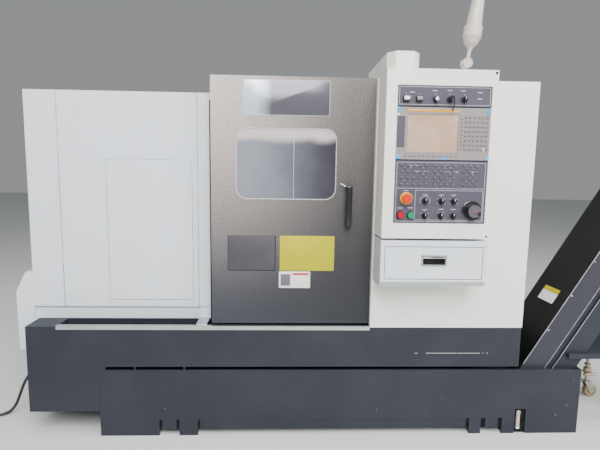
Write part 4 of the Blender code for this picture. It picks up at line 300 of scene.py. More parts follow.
darkInk = bakedPaint("darkScreenInk",  # dark print on the white plate
    colour="#5d5560", rough=0.5, dust=("#6e6670", 14, 0.6))
keyPlastic = bakedPaint("keyCapPlastic",  # key caps a shade off the plate
    colour="#34303b", rough=0.45, dust=("#6b6674", 9, 0.5))
greyKeyPlastic = bakedPaint("greyKeyPlastic",  # screen-side keys, a shade darker than the bezel
    colour="#4d474a", rough=0.45, dust=("#8f8788", 9, 0.5))
hubPlastic = bakedPaint("graphiteAbs",  # graphite moulding with a soft gleam
    colour="#47454c", rough=0.32, peel=(1.2, 0.01), dust=("#5c5a61", 16, 0.5))
chromeMetal = bakedPaint("chromePlatedZinc",  # bright chrome on a die casting
    colour="#c8cacb", rough=0.12, metallic=1.0, peel=(6, 0.02), dust=("#9b9ea0", 20, 0.4))
# painted shadow: a near-black laid where slots, pulls and plate rims lie in shade
shadowPocket = bakedPaint("paintedShadowPocket",  # unlit inside of a pull or slot
    colour="#08080a", rough=0.7, gleam=0.15, peel=(2.0, 0.02), dust=("#2a2b2e", 15, 0.5))
seamShadow = bakedPaint("jointShadow",  # the dark of a butt joint between two sheets
    colour="#5f6468", rough=0.7, peel=(2.0, 0.02), dust=("#c4c8cc", 42, 0.85))
drawerGap = bakedPaint("drawerGapShadow",  # the unlit slit round the drawer's face
    colour="#3a3e42", rough=0.7, peel=(2.0, 0.02), dust=("#4c5156", 60, 0.5))
brassTint = bakedPaint("yellowZincNut",  # yellow-passivated nuts, greasy and uneven
    colour="#b9a58a", rough=0.35, metallic=0.7, peel=(1.5, 0.03), dust=("#8d7c66", 12, 0.7))
gaugeGlass = bakedPaint("stainedGaugeTube",  # acrylic tube stained pink by old coolant
    colour="#b59d95", rough=0.2, peel=(6, 0.02), dust=("#cdbab2", 22, 0.9))
sealRubber = bakedPaint("greySealBead",  # the pale bead of sealant round the pane
    colour="#b9b4b7", rough=0.4, peel=(2.5, 0.05), dust=("#8f8b90", 30, 0.8))
# painted highlight where the edges catch the light, together with the rubbed metal there
edgeWearAndHighlight = bakedPaint("edgeWearAndPaintedHighlight",  # an edge rubbed to bright metal
    colour="#b4b2ba", rough=0.35, metallic=0.4, peel=(2.0, 0.02), dust=("#8a8890", 60, 0.8))
# the pane's mid and top colours are painted reflection over its own dark low colour
windowPane = tintedPane("laminatedPaneWithReflection", {
    "low": "#37343e", "midReflection": "#858992", "top": "#c9bebd", "clear": 0.15, "rough": 0.07, "coat": 0.7,
    "coatRough": 0.05, "reflectionMottleSize": 150, "reflectionSlant": 0.16, "reflectionDimX": 0.06, "reflectionBrightX": -0.42,
    "reflectionShift": 0.07, "reflectionLow": 1.385, "reflectionHigh": 1.425})
nameFoilWithReflection = namePlateFilm("nameFoilWithReflection", {
    "colour": "#8c8a90", "rough": 0.18, "metallic": 0.3, "paintedSilverReflection": "#c6d0da", "charcoal": "#5b5961",
    "reflectionFade": (-0.42, -0.35)})

dress = (
    (darkEnamel, "base coolant_tank conveyor_body"),
    (castIron, "slant_bed headstock carriage cross_slide tailstock"),
    (whiteEnamel, "left_cover access_panel left_end_cover roof_panel rear_cabinet drawer_unit drawer"),
    (warmLitEnamel, "right_cover wiring_duct panel_housing"),
    (groundSteel, "door_rail spindle chuck chuck_jaw_1 chuck_jaw_2 chuck_jaw_3 turret_disc tailstock_quill"),
    (zincPlate, "caster_fork_front caster_fork_rear"), (brushedSteel, "door_sill drawer_pull"),
    (plateFilm, "switch_plate key_panel card_flap"), (bezelPlastic, "display_unit"),
    (screenFilm, "display_screen"), (conveyorLidAndShade, "conveyor_cover"),
    (cableRubber, "supply_cable supply_cable_coil"), (doorPaint, "door"), (windowPane, "door_window"),
    (blackPlastic, "supply_plug door_handle handwheel push_button_1 push_button_2 top_selector_1 "
                   "top_selector_2 top_selector_3 selector_1 selector_2 selector_3 selector_4 selector_5 "
                   "selector_6"),
    (lampGlass, "signal_lamp"), (redPlastic, "stop_button"), (stopPlastic, "emergency_button"),
    (greenPlastic, "start_button"), (wheelPlastic, "caster_wheel_front caster_wheel_rear"))
for material, names in dress:
    for nodeName in names.split():
        nodes[nodeName].data.materials.clear()
        nodes[nodeName].data.materials.append(material)
print("materials laid on", sum(len(names.split()) for material, names in dress), "nodes")


# modelling helpers
def clearSelection():
    if bpy.context.object and bpy.context.object.mode == "EDIT":
        bpy.ops.object.mode_set(mode="OBJECT")
    bpy.ops.object.select_all(action="DESELECT")


def takeUp(piece):  # the only one selected, and active
    clearSelection()
    piece.select_set(True)
    bpy.context.view_layer.objects.active = piece


def settle(name, scale=(1, 1, 1)):  # names the fresh primitive and puts its place into the mesh
    piece = bpy.context.object
    piece.name = name
    piece.scale = scale
    bpy.ops.object.transform_apply(location=True, rotation=True, scale=True)
    return piece


def openPiece(piece, kind="FACE", action="DESELECT"):
    takeUp(piece)
    bpy.ops.object.mode_set(mode="EDIT")
    bpy.ops.mesh.select_mode(type=kind)
    bpy.ops.mesh.select_all(action=action)


def pickFaces(piece, test):
    openPiece(piece, "FACE")
    bpy.ops.object.mode_set(mode="OBJECT")
    for face in piece.data.polygons:
        face.select = test(face)
    bpy.ops.object.mode_set(mode="EDIT")


def pickEdges(piece, test):
    openPiece(piece, "EDGE")
    bpy.ops.object.mode_set(mode="OBJECT")
    points = piece.data.vertices
    for edge in piece.data.edges:
        edge.select = test(points[edge.vertices[0]].co, points[edge.vertices[1]].co)
    bpy.ops.object.mode_set(mode="EDIT")


def easeEdges(offset, segments=2, **more):
    bpy.ops.mesh.bevel(offset=offset, segments=segments, affect="EDGES", **more)


def easePlane(piece, front, offset, segments=2):  # rounds the outline of the front
    pickEdges(piece, lambda a, b: abs(a.y - front) < 1e-5 and abs(b.y - front) < 1e-5)
    easeEdges(offset, segments)


def easeAll(piece, offset, segments):
    openPiece(piece, "EDGE", "SELECT")
    easeEdges(offset, segments)


def alongY(a, b):
    return abs(a.y - b.y) > 1e-6 and abs(a.x - b.x) < 1e-6 and abs(a.z - b.z) < 1e-6


def facingFront(face):
    return face.normal.y < -0.9


def facingEither(face):
    return abs(face.normal.y) > 0.9


def sinkFace(thickness, depth):  # insets the picked face and pushes it in
    bpy.ops.mesh.inset(thickness=thickness)
    bpy.ops.transform.translate(value=(0, depth, 0))


def startBox(name, low, high):
    clearSelection()
    bpy.ops.mesh.primitive_cube_add(size=1, location=[(a + b) / 2 for a, b in zip(low, high)])
    return settle(name, [b - a for a, b in zip(low, high)])


def startDisc(name, middle, radius, depth, axis="Y", sides=40):
    clearSelection()
    turn = {"X": (0, math.pi / 2, 0), "Y": (math.pi / 2, 0, 0), "Z": (0, 0, 0)}[axis]
    bpy.ops.mesh.primitive_cylinder_add(vertices=sides, radius=radius, depth=depth, location=middle,
                                        rotation=turn)
    return settle(name)


def finishPiece(piece, material, body="machine", smooth=35):
    takeUp(piece)
    bpy.ops.object.shade_smooth_by_angle(angle=math.radians(smooth))
    piece.data.materials.clear()
    piece.data.materials.append(material)
    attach(piece, body)
    return piece


def copyPiece(piece, shift):  # its own mesh, moved in the mesh itself
    double = piece.copy()
    double.data = piece.data.copy()
    double.data.transform(Matrix.Translation(shift))
    bpy.context.scene.collection.objects.link(double)
    return double


def spinPiece(piece, x, z, degrees):  # turned in its plane, in the mesh itself
    piece.data.transform(Matrix.Translation((x, 0, z)) @ Matrix.Rotation(math.radians(degrees), 4, "Y")
                         @ Matrix.Translation((-x, 0, -z)))


def finishGroup(name, pieces, material):
    return finishPiece(joinPieces(name, pieces), material)


def joinPieces(name, pieces):
    clearSelection()
    for piece in pieces:
        piece.select_set(True)
    bpy.context.view_layer.objects.active = pieces[0]
    if len(pieces) > 1:
        bpy.ops.object.join()
    pieces[0].name = name
    return pieces[0]


def grown(area, by):  # areas are (low x, low z, high x, high z)
    return area[0] - by, area[1] - by, area[2] + by, area[3] + by


def thinPlate(name, area, front, back, corner=0.0, edge=0.0):  # rounded outline, then an eased front edge
    piece = startBox(name, (area[0], front, area[1]), (area[2], back, area[3]))
    if corner:
        pickEdges(piece, alongY)
        easeEdges(corner, 4)
    if edge:
        easePlane(piece, front, edge)
    clearSelection()
    return piece


def thinFrame(name, area, front, back, width, corner=0.0):  # a rounded ring: both faces inset and bridged
    piece = startBox(name, (area[0], front, area[1]), (area[2], back, area[3]))
    if corner:
        pickEdges(piece, alongY)
        easeEdges(corner, 6)
    pickFaces(piece, facingEither)
    bpy.ops.mesh.inset(thickness=width, use_even_offset=True)
    bpy.ops.mesh.bridge_edge_loops()
    clearSelection()
    return piece


def shapedDisc(name, middle, radius, depth, dish, rim, edge, sides):
    # round cap: a rim by inset, a dish pushed in, an eased outer edge
    piece = startDisc(name, middle, radius, depth, "Y", sides)
    pickFaces(piece, facingFront)
    sinkFace(rim, dish)
    front = middle[1] - depth / 2
    pickEdges(piece, lambda a, b: abs(a.y - front) < 1e-6 and abs(b.y - front) < 1e-6
              and (a - Vector(middle)).xz.length > radius * 0.99)
    easeEdges(edge, 3)
    clearSelection()
    return piece


screwForm = {"sides": 18, "dome": 0.45, "socket": 0.25, "sink": 0.5}


def screwHead(name, middle, radius, rise):  # domed head with a socket
    piece = startDisc(name, middle, radius, rise, "Y", screwForm["sides"])
    easePlane(piece, middle[1] - rise / 2, rise * screwForm["dome"])
    pickFaces(piece, facingFront)
    sinkFace(radius * screwForm["socket"], rise * screwForm["sink"])
    clearSelection()
    return piece


keyTest = {"square": 0.0006, "widest": 0.02}


def keyBoxes(nodeName):  # (low x, low z, high x, high z, front) of every raised square on a CAD plate
    mesh = nodes[nodeName].data
    found = set()
    for face in mesh.polygons:
        if face.normal.y < -0.99:
            corners = [mesh.vertices[i].co for i in face.vertices]
            xs, zs = [c.x for c in corners], [c.z for c in corners]
            lowX, lowZ, highX, highZ = (round(v, 4) for v in (min(xs), min(zs), max(xs), max(zs)))
            if abs((highX - lowX) - (highZ - lowZ)) < keyTest["square"] and highX - lowX < keyTest["widest"]:
                found.add((lowX, lowZ, highX, highZ, round(corners[0].y, 4)))
    return sorted(found)


# supply cable
cablePlan = {"radius": 0.007, "length": 2.78, "centre": (-1.897, -0.16), "outer": 0.0842, "inner": 0.0698,
             "step": 0.0143, "turns": 4.25, "pointsPerTurn": 18, "lift": 0.0001,
             "tail": ((-0.13, 0.0352), (-0.102, 0.033), (-0.075, 0.031), (-0.063, 0.0305))}
cableWay = [  # from the gland down to the floor and along it to the coil
    (-1.477, -0.11, 0.235), (-1.49, -0.11, 0.2348), (-1.504, -0.11, 0.2335),
    (-1.52, -0.11, 0.2295), (-1.537, -0.11, 0.22), (-1.555, -0.1102, 0.2035),
    (-1.571, -0.1105, 0.18), (-1.585, -0.1108, 0.152), (-1.597, -0.111, 0.123),
    (-1.608, -0.1115, 0.093), (-1.6195, -0.1125, 0.064), (-1.634, -0.115, 0.038),
    (-1.653, -0.12, 0.018), (-1.678, -0.129, 0.0085), (-1.705, -0.142, 0.0071),
    (-1.735, -0.16, 0.0071), (-1.764, -0.1815, 0.0071), (-1.793, -0.205, 0.0071),
    (-1.823, -0.226, 0.0071), (-1.859, -0.24, 0.0071)]


def layerAt(turn, plan):  # radius and height of the coil at a turn: two rings to a layer, then up
    outer, inner, step = plan["outer"], plan["inner"], plan["step"]
    stops = [(0.0, outer, 0), (0.85, outer, 0), (1.0, inner, 0), (1.68, inner, 0), (1.84, inner, 1),
             (2.53, inner, 1), (2.69, outer, 1), (3.36, outer, 1), (3.52, outer, 2), (9.0, outer, 2)]
    for (a, ra, za), (b, rb, zb) in zip(stops, stops[1:]):
        if a <= turn <= b:
            share = (turn - a) / (b - a)
            share = share * share * (3 - 2 * share)
            return ra + (rb - ra) * share, (za + (zb - za) * share) * step
    return outer, 0.0


def coilPoints(plan):
    found = []
    for number in range(int(plan["turns"] * plan["pointsPerTurn"]) + 1):
        turn = number / plan["pointsPerTurn"]
        radius, rise = layerAt(turn, plan)
        angle = 2 * math.pi * turn
        found.append((plan["centre"][0] - radius * math.sin(angle),
                      plan["centre"][1] - radius * math.cos(angle), plan["radius"] + plan["lift"] + rise))
    return found


def makeCable(plan, endX):
    path = cableWay + coilPoints(plan) + [(endX, y, z) for y, z in plan["tail"]]
    data = bpy.data.curves.new("supplyLead", "CURVE")
    data.dimensions = "3D"
    data.bevel_depth = plan["radius"]
    data.bevel_resolution = 4
    data.resolution_u = 5
    data.use_fill_caps = True
    line = data.splines.new("BEZIER")
    line.bezier_points.add(len(path) - 1)
    for point, place in zip(line.bezier_points, path):
        point.co = place
        point.handle_left_type = point.handle_right_type = "AUTO"
    lead = bpy.data.objects.new("supplyLead", data)
    bpy.context.scene.collection.objects.link(lead)
    data.materials.append(cableRubber)
    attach(lead, "machine")
    return lead


plugX = cablePlan["centre"][0] - cablePlan["outer"]
supplyLead = makeCable(cablePlan, plugX)

sleeve = {"middle": (-1.492, -0.11, 0.2345), "radius": 0.0088, "length": 0.03, "taper": 0.86, "edge": 0.0008}


def makeRelief(plan):  # tapered rubber sleeve
    x, y, z = plan["middle"]
    endX = x - plan["length"] / 2
    piece = startDisc("strainRelief", plan["middle"], plan["radius"], plan["length"], "X", 28)
    pickEdges(piece, lambda a, b: abs(a.x - endX) < 1e-4 and abs(b.x - endX) < 1e-4)
    bpy.ops.transform.resize(value=(1, plan["taper"], plan["taper"]), center_override=(endX, y, z))
    easeAll(piece, plan["edge"], 1)
    return finishPiece(piece, cableRubber, "machine")


relief = makeRelief(sleeve)

plugPlan = {"y": -0.075, "z": 0.0305, "sides": 36, "wall": 0.004, "socket": 0.022,
            "steps": ((0.0, 0.0105), (0.02, 0.0135), (0.03, 0.0235), (0.036, 0.027), (0.075, 0.027),
                      (0.079, 0.03), (0.09, 0.03), (0.094, 0.027), (0.12, 0.027))}


def makePlug(plan, x):
    y, z, steps = plan["y"], plan["z"], plan["steps"]
    clearSelection()
    bpy.ops.mesh.primitive_circle_add(vertices=plan["sides"], radius=steps[0][1], location=(x, y, z),
                                      rotation=(math.pi / 2, 0, 0), fill_type="NGON")
    piece = settle("industrialPlug")
    bpy.ops.object.mode_set(mode="EDIT")
    bpy.ops.mesh.select_all(action="SELECT")
    for (startY, startR), (endY, endR) in zip(steps, steps[1:]):  # pulled out section by section
        bpy.ops.mesh.extrude_region_move(TRANSFORM_OT_translate={"value": (0, endY - startY, 0)})
        grow = endR / startR
        bpy.ops.transform.resize(value=(grow, 1, grow), center_override=(x, y + endY, z))
    sinkFace(plan["wall"], -plan["socket"])
    bpy.ops.mesh.select_all(action="SELECT")
    bpy.ops.mesh.normals_make_consistent(inside=False)
    return finishPiece(piece, blackPlastic, "machine", 40)


plug = makePlug(plugPlan, plugX)
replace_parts(supplyLead, "supply_cable", "supply_cable_coil")
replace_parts(plug, "supply_plug")
print("supply cable laid")

# door trim
doorTrim = {"front": -0.28, "sunk": 0.0002, "namePlate": (-0.476, 1.476, -0.095, 1.627),
            "yellowPlate": (-0.309, 0.782, -0.061, 0.943), "whitePlate": (-0.312, 0.701, -0.169, 0.778),
            "squarePlate": (-0.543, 0.784, -0.331, 0.94), "window": (-0.5067, 1.1083, -0.0613, 1.4197)}


def doorPlate(name, area, material, film, corner=0.003, lift=0.0):
    front = doorTrim["front"] - lift
    piece = thinPlate(name, area, front - film, front + doorTrim["sunk"], corner, film * 0.4)
    return finishPiece(piece, material, "sliding_door")


doorPlate("blankNamePlate", doorTrim["namePlate"], nameFoilWithReflection, 0.0014, 0.004)
finishPiece(thinFrame("namePlateRim", doorTrim["namePlate"], -0.2816, -0.28, 0.0016, 0.004), printInk,
            "sliding_door")
doorPlate("blankYellowPlate", doorTrim["yellowPlate"], yellowFoil, 0.0006, 0.004)
doorPlate("blankWhitePlate", doorTrim["whitePlate"], whiteFoil, 0.0006, 0.003)
x0, z0, x1, z1 = doorTrim["whitePlate"]
doorPlate("redBand", (x0 + 0.062, z1 - 0.017, x1 - 0.006, z1 - 0.007), redFoil, 0.0003, 0.0015, 0.0006)
doorPlate("darkField", (x0 + 0.008, z0 + 0.01, x0 + 0.052, z1 - 0.012), darkInk, 0.0003, 0.0015, 0.0006)
x0, z0, x1, z1 = doorTrim["squarePlate"]
shadowArea = (x0 - 0.0015, z0 - 0.003, x1 + 0.003, z1 + 0.001)
doorPlate("squarePlateShadow", shadowArea, shadowPocket, 0.0004, 0.004)
doorPlate("squareCoverPlate", doorTrim["squarePlate"], coverPlatePaint, 0.0016, 0.006, 0.0003)

# door handle
bow = {"x": -0.004, "halfWidth": 0.0135, "low": 0.989, "high": 1.176, "back": -0.2806, "front": -0.3228,
       "thick": 0.015, "outer": 0.01, "round": 0.0062, "foot": 0.02, "overrun": (0.05, 0.02)}


def makeHandle(plan):
    # glass-filled nylon bow: a bar with a deep window behind it and feet that flow into its ends
    x, half, (overX, overY) = plan["x"], plan["halfWidth"], plan["overrun"]
    handle = startBox("bowHandle", (x - half, plan["front"], plan["low"]),
                      (x + half, plan["back"], plan["high"]))
    gap = startBox("fingerGap", (x - overX, plan["front"] + plan["thick"], plan["low"] + plan["foot"]),
                   (x + overX, plan["back"] + overY, plan["high"] - plan["foot"]))
    takeUp(handle)
    carve = handle.modifiers.new("carve", "BOOLEAN")
    carve.operation = "DIFFERENCE"
    carve.object = gap
    bpy.ops.object.modifier_apply(modifier="carve")
    bpy.data.objects.remove(gap)
    pickEdges(handle, lambda a, b: max(abs(a.z - b.z), abs(a.y - b.y)) < 1e-5 and a.y < plan["front"] + 1e-4)
    easeEdges(plan["outer"], 5)
    openPiece(handle, "EDGE")
    bpy.ops.mesh.edges_select_sharp(sharpness=math.radians(40))
    easeEdges(plan["round"], 5, clamp_overlap=True)
    return finishPiece(handle, blackPlastic, "sliding_door", smooth=50)


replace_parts(makeHandle(bow), "door_handle")
tie = {"area": (-0.043, 1.1728, -0.011, 1.1772), "front": -0.301, "back": -0.2998,
       "middle": (-0.027, 1.175), "turn": 27}
tieTail = thinPlate("cableTieTail", tie["area"], tie["front"], tie["back"], 0.0004, 0.0002)
spinPiece(tieTail, *tie["middle"], tie["turn"])
finishPiece(tieTail, whiteFoil, "sliding_door")
rim = thinFrame("squarePlateShadow", grown(doorTrim["squarePlate"], 0.0012), -0.2806, -0.2799, 0.0024, 0.007)
finishPiece(rim, shadowPocket, "sliding_door")
bead = {"grow": 0.0015, "front": -0.2812, "back": -0.2786, "width": 0.0042, "corner": 0.05, "edge": 0.0009,
        "seam": (-0.2521, 1.1103, -0.2499, 1.4177), "seamFront": -0.279, "seamBack": -0.2784}
seal = thinFrame("paneSealBead", grown(doorTrim["window"], bead["grow"]), bead["front"], bead["back"],
                 bead["width"], bead["corner"])
easePlane(seal, bead["front"], bead["edge"])
finishPiece(seal, sealRubber, "sliding_door")
seam = thinPlate("paneSeam", bead["seam"], bead["seamFront"], bead["seamBack"], 0.0, 0.0002)
finishPiece(seam, sealRubber, "sliding_door")
print("door trim fitted")

# operator panel: prints as (name, half width, half height, middles), scales as (middle, marks, radius)
panelPrint = {
    "plate": -0.4625, "film": 0.0003, "sunk": 0.0002, "ringFront": -0.4628, "ringBack": -0.4624,
    "rings": (((0.1655, 1.5075, 0.5365, 1.578), 0.0011, 0.004),
              ((0.1665, 1.0345, 0.5345, 1.2775), 0.0011, 0.004),
              ((0.247, 1.0405, 0.53, 1.164), 0.001, 0.002)),
    "bars": (("switchLegend", 0.0095, 0.0012, ((0.2168, 1.5557), (0.3084, 1.5634), (0.3684, 1.5647),
                                               (0.4234, 1.5647), (0.4932, 1.5587), (0.4927, 1.534))),
             ("switchTick", 0.0013, 0.00135, [(x, 1.54915) for x in (0.1935, 0.2457, 0.3135, 0.371, 0.43)]),
             ("keyLegend", 0.011, 0.001, [(x, 1.2402) for x in (0.2482, 0.2875, 0.3768, 0.41, 0.4788)]),
             ("keyLegend", 0.008, 0.0008, [(x, 1.2648) for x in (0.225, 0.248, 0.372, 0.405, 0.47, 0.498)]),
             ("dividerLine", 0.1826, 0.00055, ((0.3488, 1.17135),)),
             ("selectorLegend", 0.0105, 0.001, ((0.2087, 1.1615), (0.1876, 1.0895), (0.2288, 1.0909),
                                                 (0.2893, 1.1452), (0.357, 1.1452), (0.4072, 1.1452),
                                                 (0.2881, 1.0835), (0.3573, 1.086), (0.409, 1.0862)))),
    "scales": ((0.289, 1.12, 13, 0.0205), (0.357, 1.12, 5, 0.0185), (0.4085, 1.12, 5, 0.0185),
               (0.289, 1.059, 5, 0.0185), (0.357, 1.059, 4, 0.018)),
    "sweep": 240, "markHalf": (0.0016, 0.001)}


def inkBar(name, area, front=panelPrint["plate"]):
    film = panelPrint["film"]
    return thinPlate(name, area, front - film, front + panelPrint["sunk"], 0.0, film * 0.3)


def inkBars(name, halfX, halfZ, middles):
    return [inkBar(name, (x - halfX, z - halfZ, x + halfX, z + halfZ)) for x, z in middles]


def printPanel(plan):
    ink = [thinFrame("plateOutline", area, plan["ringFront"], plan["ringBack"], width, corner)
           for area, width, corner in plan["rings"]]
    for bar in plan["bars"]:
        ink += inkBars(*bar)
    for middleX, middleZ, count, reach in plan["scales"]:
        angles = [math.radians(plan["sweep"] * (number / (count - 1) - 0.5)) for number in range(count)]
        middles = [(middleX + reach * math.sin(a), middleZ + reach * math.cos(a)) for a in angles]
        ink += inkBars("scaleMark", *plan["markHalf"], middles)
    finishGroup("panelPrint", ink, printInk)


printPanel(panelPrint)

keySets = (  # inset and rise of the caps, their corner and edge, and the sign's box from the upper left
    ("key_panel", "panelKeyCaps", keyPlastic, "panelKeySigns", keySignInk, 0.0004, 0.001, 0.0016, 0.0005,
     (0.0042, 0.006, 0.0072, 0.0046)),
    ("display_unit", "displayKeyCaps", greyKeyPlastic, "displayKeySigns", printInk, 0.0003, 0.0008, 0.0014,
     0.0004, (0.0028, 0.0052, 0.0062, 0.0034)))
for nodeName, capName, capLook, signName, signLook, inset, rise, corner, edge, sign in keySets:
    caps, marks = [], []
    for x0, z0, x1, z1, front in keyBoxes(nodeName):
        caps.append(thinPlate("keyCap", grown((x0, z0, x1, z1), -inset), front - rise,
                              front + panelPrint["sunk"], corner, edge))
        area = (x0 + sign[0], z1 - sign[1], x0 + sign[2], z1 - sign[3])
        marks.append(inkBar("keySign", area, front - rise))
    finishGroup(capName, caps, capLook)
    finishGroup(signName, marks, signLook)

screenTrim = {"film": (0.201, 1.4795, 0.4132, 1.489), "label": (0.1605, 1.464, 0.17, 1.4725),
              "tapes": ((0.1584, 1.478, 0.176, 1.497), (0.529, 1.47, 0.5426, 1.4975),
                        (0.1584, 1.289, 0.177, 1.306), (0.342, 1.289, 0.37, 1.299),
                        (0.5285, 1.289, 0.5426, 1.307)), "key": (0.5221, -0.465, 1.3323)}
finishPiece(thinPlate("transportFilmStrip", screenTrim["film"], -0.4652, -0.4643, 0.0015, 0.0003), amberFilm)
tapes = [thinPlate("cornerTape", area, -0.4653, -0.464, 0.0, 0.0002) for area in screenTrim["tapes"]]
finishGroup("cornerTapes", tapes, blueTape)
paleKey = shapedDisc("paleDisplayKey", screenTrim["key"], 0.0062, 0.0022, 0.0006, 0.0014, 0.0004, 28)
finishPiece(paleKey, whiteFoil)
finishPiece(thinPlate("paleSlotLabel", screenTrim["label"], -0.4648, -0.4644, 0.0015, 0.0001), whiteFoil)

lensPlan = {"half": 0.011, "low": 1.5245, "high": 1.5385, "proud": 0.0012, "sunk": 0.0004,
            "lenses": (("firstLens", 0.1935, "push_one", "push_button_1", whiteFoil),
                       ("secondLens", 0.2457, "push_two", "push_button_2", bezelPlastic))}
for name, x, body, nodeName, material in lensPlan["lenses"]:
    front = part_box(nodeName)[0].y
    area = (x - lensPlan["half"], lensPlan["low"], x + lensPlan["half"], lensPlan["high"])
    lens = thinPlate(name, area, front - lensPlan["proud"], front + lensPlan["sunk"], 0.0015, 0.0005)
    finishPiece(lens, material, body)

collarPlan = {"middle": (0.2092, -0.4657, 1.13), "radius": 0.0257, "depth": 0.0074, "edge": 0.0015}
collar = startDisc("stopCollarRing", collarPlan["middle"], collarPlan["radius"], collarPlan["depth"], "Y", 48)
easePlane(collar, collarPlan["middle"][1] - collarPlan["depth"] / 2, collarPlan["edge"], 3)
finishPiece(collar, yellowPlastic)

bezelPlan = {"places": ((0.188, 1.0605), (0.231, 1.0605)), "y": -0.4634, "radius": 0.0162, "depth": 0.002,
             "rim": 0.0016, "sink": 0.0008}
bezels = []
for x, z in bezelPlan["places"]:
    bezels.append(startDisc("buttonBezel", (x, bezelPlan["y"], z), bezelPlan["radius"], bezelPlan["depth"]))
    pickFaces(bezels[-1], facingFront)
    sinkFace(bezelPlan["rim"], bezelPlan["sink"])
finishGroup("buttonBezels", bezels, chromeMetal)

pointers = {"top_sel_one": ("top_selector_1", 0.3135, 1.53), "top_sel_three": ("top_selector_3", 0.43, 1.53),
            "sel_two": ("selector_2", 0.357, 1.12), "sel_three": ("selector_3", 0.4085, 1.12),
            "sel_five": ("selector_5", 0.357, 1.059), "sel_six": ("selector_6", 0.4085, 1.059),
            "sel_one": ("selector_1", 0.289, 1.12), "sel_four": ("selector_4", 0.289, 1.059)}
pointerForm = {"half": 0.0011, "proud": 0.0005, "sunk": 0.0003, "start": 0.001, "end": 0.01}
for body, (nodeName, x, z) in pointers.items():
    front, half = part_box(nodeName)[0].y, pointerForm["half"]
    bar = thinPlate("pointer_" + body, (x - half, z + pointerForm["start"], x + half, z + pointerForm["end"]),
                    front - pointerForm["proud"], front + pointerForm["sunk"], 0.0003, 0.0002)
    finishPiece(bar, whiteFoil, body)
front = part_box("top_selector_1")[0].y
face = shapedDisc("selectorFace", (0.3135, front - 0.0006, 1.53), 0.0072, 0.0014, 0.0004, 0.0012, 0.0003, 28)
finishPiece(face, whiteFoil, "top_sel_one")

# the key left in its switch; y values are measured from the switch's front
keyPlan = {"blade": (0.3695, 1.5235, 0.3725, 1.5365), "bladeFront": -0.012, "bladeBack": 0.001,
           "bowMiddle": (0.371, -0.0128, 1.53), "strapLow": (0.374, -0.015, 1.48),
           "strapHigh": (0.379, -0.0128, 1.533), "cuts": 5, "belly": 0.004, "drift": 0.0035, "lean": 0.006,
           "edge": 0.0006}


def makeKey(plan, front):
    def at(point):
        return point[0], front + point[1], point[2]

    blade = thinPlate("keyBlade", plan["blade"], front + plan["bladeFront"], front + plan["bladeBack"],
                      0.0006, 0.0005)
    head = shapedDisc("keyBow", at(plan["bowMiddle"]), 0.0098, 0.0026, 0.0007, 0.0028, 0.0006, 28)
    strap = startBox("keyStrap", at(plan["strapLow"]), at(plan["strapHigh"]))
    openPiece(strap, "FACE", "SELECT")
    bpy.ops.mesh.subdivide(number_cuts=plan["cuts"])
    takeUp(strap)
    top, low = plan["strapHigh"][2], plan["strapLow"][2]
    for vertex in strap.data.vertices:  # the strap hangs in a shallow bow
        share = (top - vertex.co.z) / (top - low)
        vertex.co.x += plan["belly"] * math.sin(share * math.pi) - plan["drift"] * share
        vertex.co.y += plan["lean"] * share * share
    ease = strap.modifiers.new("ease", "BEVEL")
    ease.width = plan["edge"]
    ease.segments = 2
    bpy.ops.object.modifier_apply(modifier="ease")
    finishPiece(joinPieces("hangingKey", [blade, head, strap]), blackPlastic, "top_sel_two")


makeKey(keyPlan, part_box("top_selector_2")[0].y)

wheelPlan = {"x": 0.4854, "z": 1.0816, "hubShift": 0.0072, "hubRadius": 0.0262, "ringY": -0.4645,
             "ringRadius": 0.0418, "ringDepth": 0.004, "ringWidth": 0.0022, "markTurn": -32,
             "mark": (0.47, 1.0806, 0.501, 1.0829), "markFront": 0.0056, "markBack": 0.0065}
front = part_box("handwheel")[0].y
hub = shapedDisc("wheelHub", (wheelPlan["x"], front + wheelPlan["hubShift"], wheelPlan["z"]),
                 wheelPlan["hubRadius"], 0.003, 0.0006, 0.003, 0.0006, 56)
finishPiece(hub, hubPlastic, "hand_wheel")
streak = thinPlate("wheelMark", wheelPlan["mark"], front + wheelPlan["markFront"],
                   front + wheelPlan["markBack"], 0.0005, 0.0002)
spinPiece(streak, wheelPlan["x"], wheelPlan["z"], wheelPlan["markTurn"])
finishPiece(streak, redFoil, "hand_wheel")
wheelRing = startDisc("wheelRing", (wheelPlan["x"], wheelPlan["ringY"], wheelPlan["z"]),
                      wheelPlan["ringRadius"], wheelPlan["ringDepth"], "Y", 72)
pickFaces(wheelRing, facingEither)
bpy.ops.mesh.inset(thickness=wheelPlan["ringWidth"])
bpy.ops.mesh.bridge_edge_loops()
finishPiece(wheelRing, chromeMetal)

housingScrews = (("housingScrew", (0.5565, -0.4648, 1.637), 0.005, 0.0024),
                 ("housingScrew", (0.5545, -0.4648, 0.974), 0.0042, 0.0024),
                 ("unitScrew", (0.56, -0.4648, 0.933), 0.0026, 0.002))
finishGroup("housingScrews", [screwHead(*screw) for screw in housingScrews], shadowPocket)
print("operator panel finished")

# drawer pull
low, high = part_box("drawer_pull")
insert = thinPlate("pullShadow", (low.x + 0.0075, low.z + 0.0075, high.x - 0.0075, high.z - 0.016),
                   high.y - 0.0045, high.y - 0.0025, 0.002, 0.0006)
finishPiece(insert, shadowPocket, "tool_drawer")
lipBar = thinPlate("pullLip", (low.x + 0.007, high.z - 0.015, high.x - 0.007, high.z - 0.0072),
                   low.y + 0.0004, low.y + 0.0035, 0.0012, 0.0012)
finishPiece(lipBar, chromeMetal, "tool_drawer")

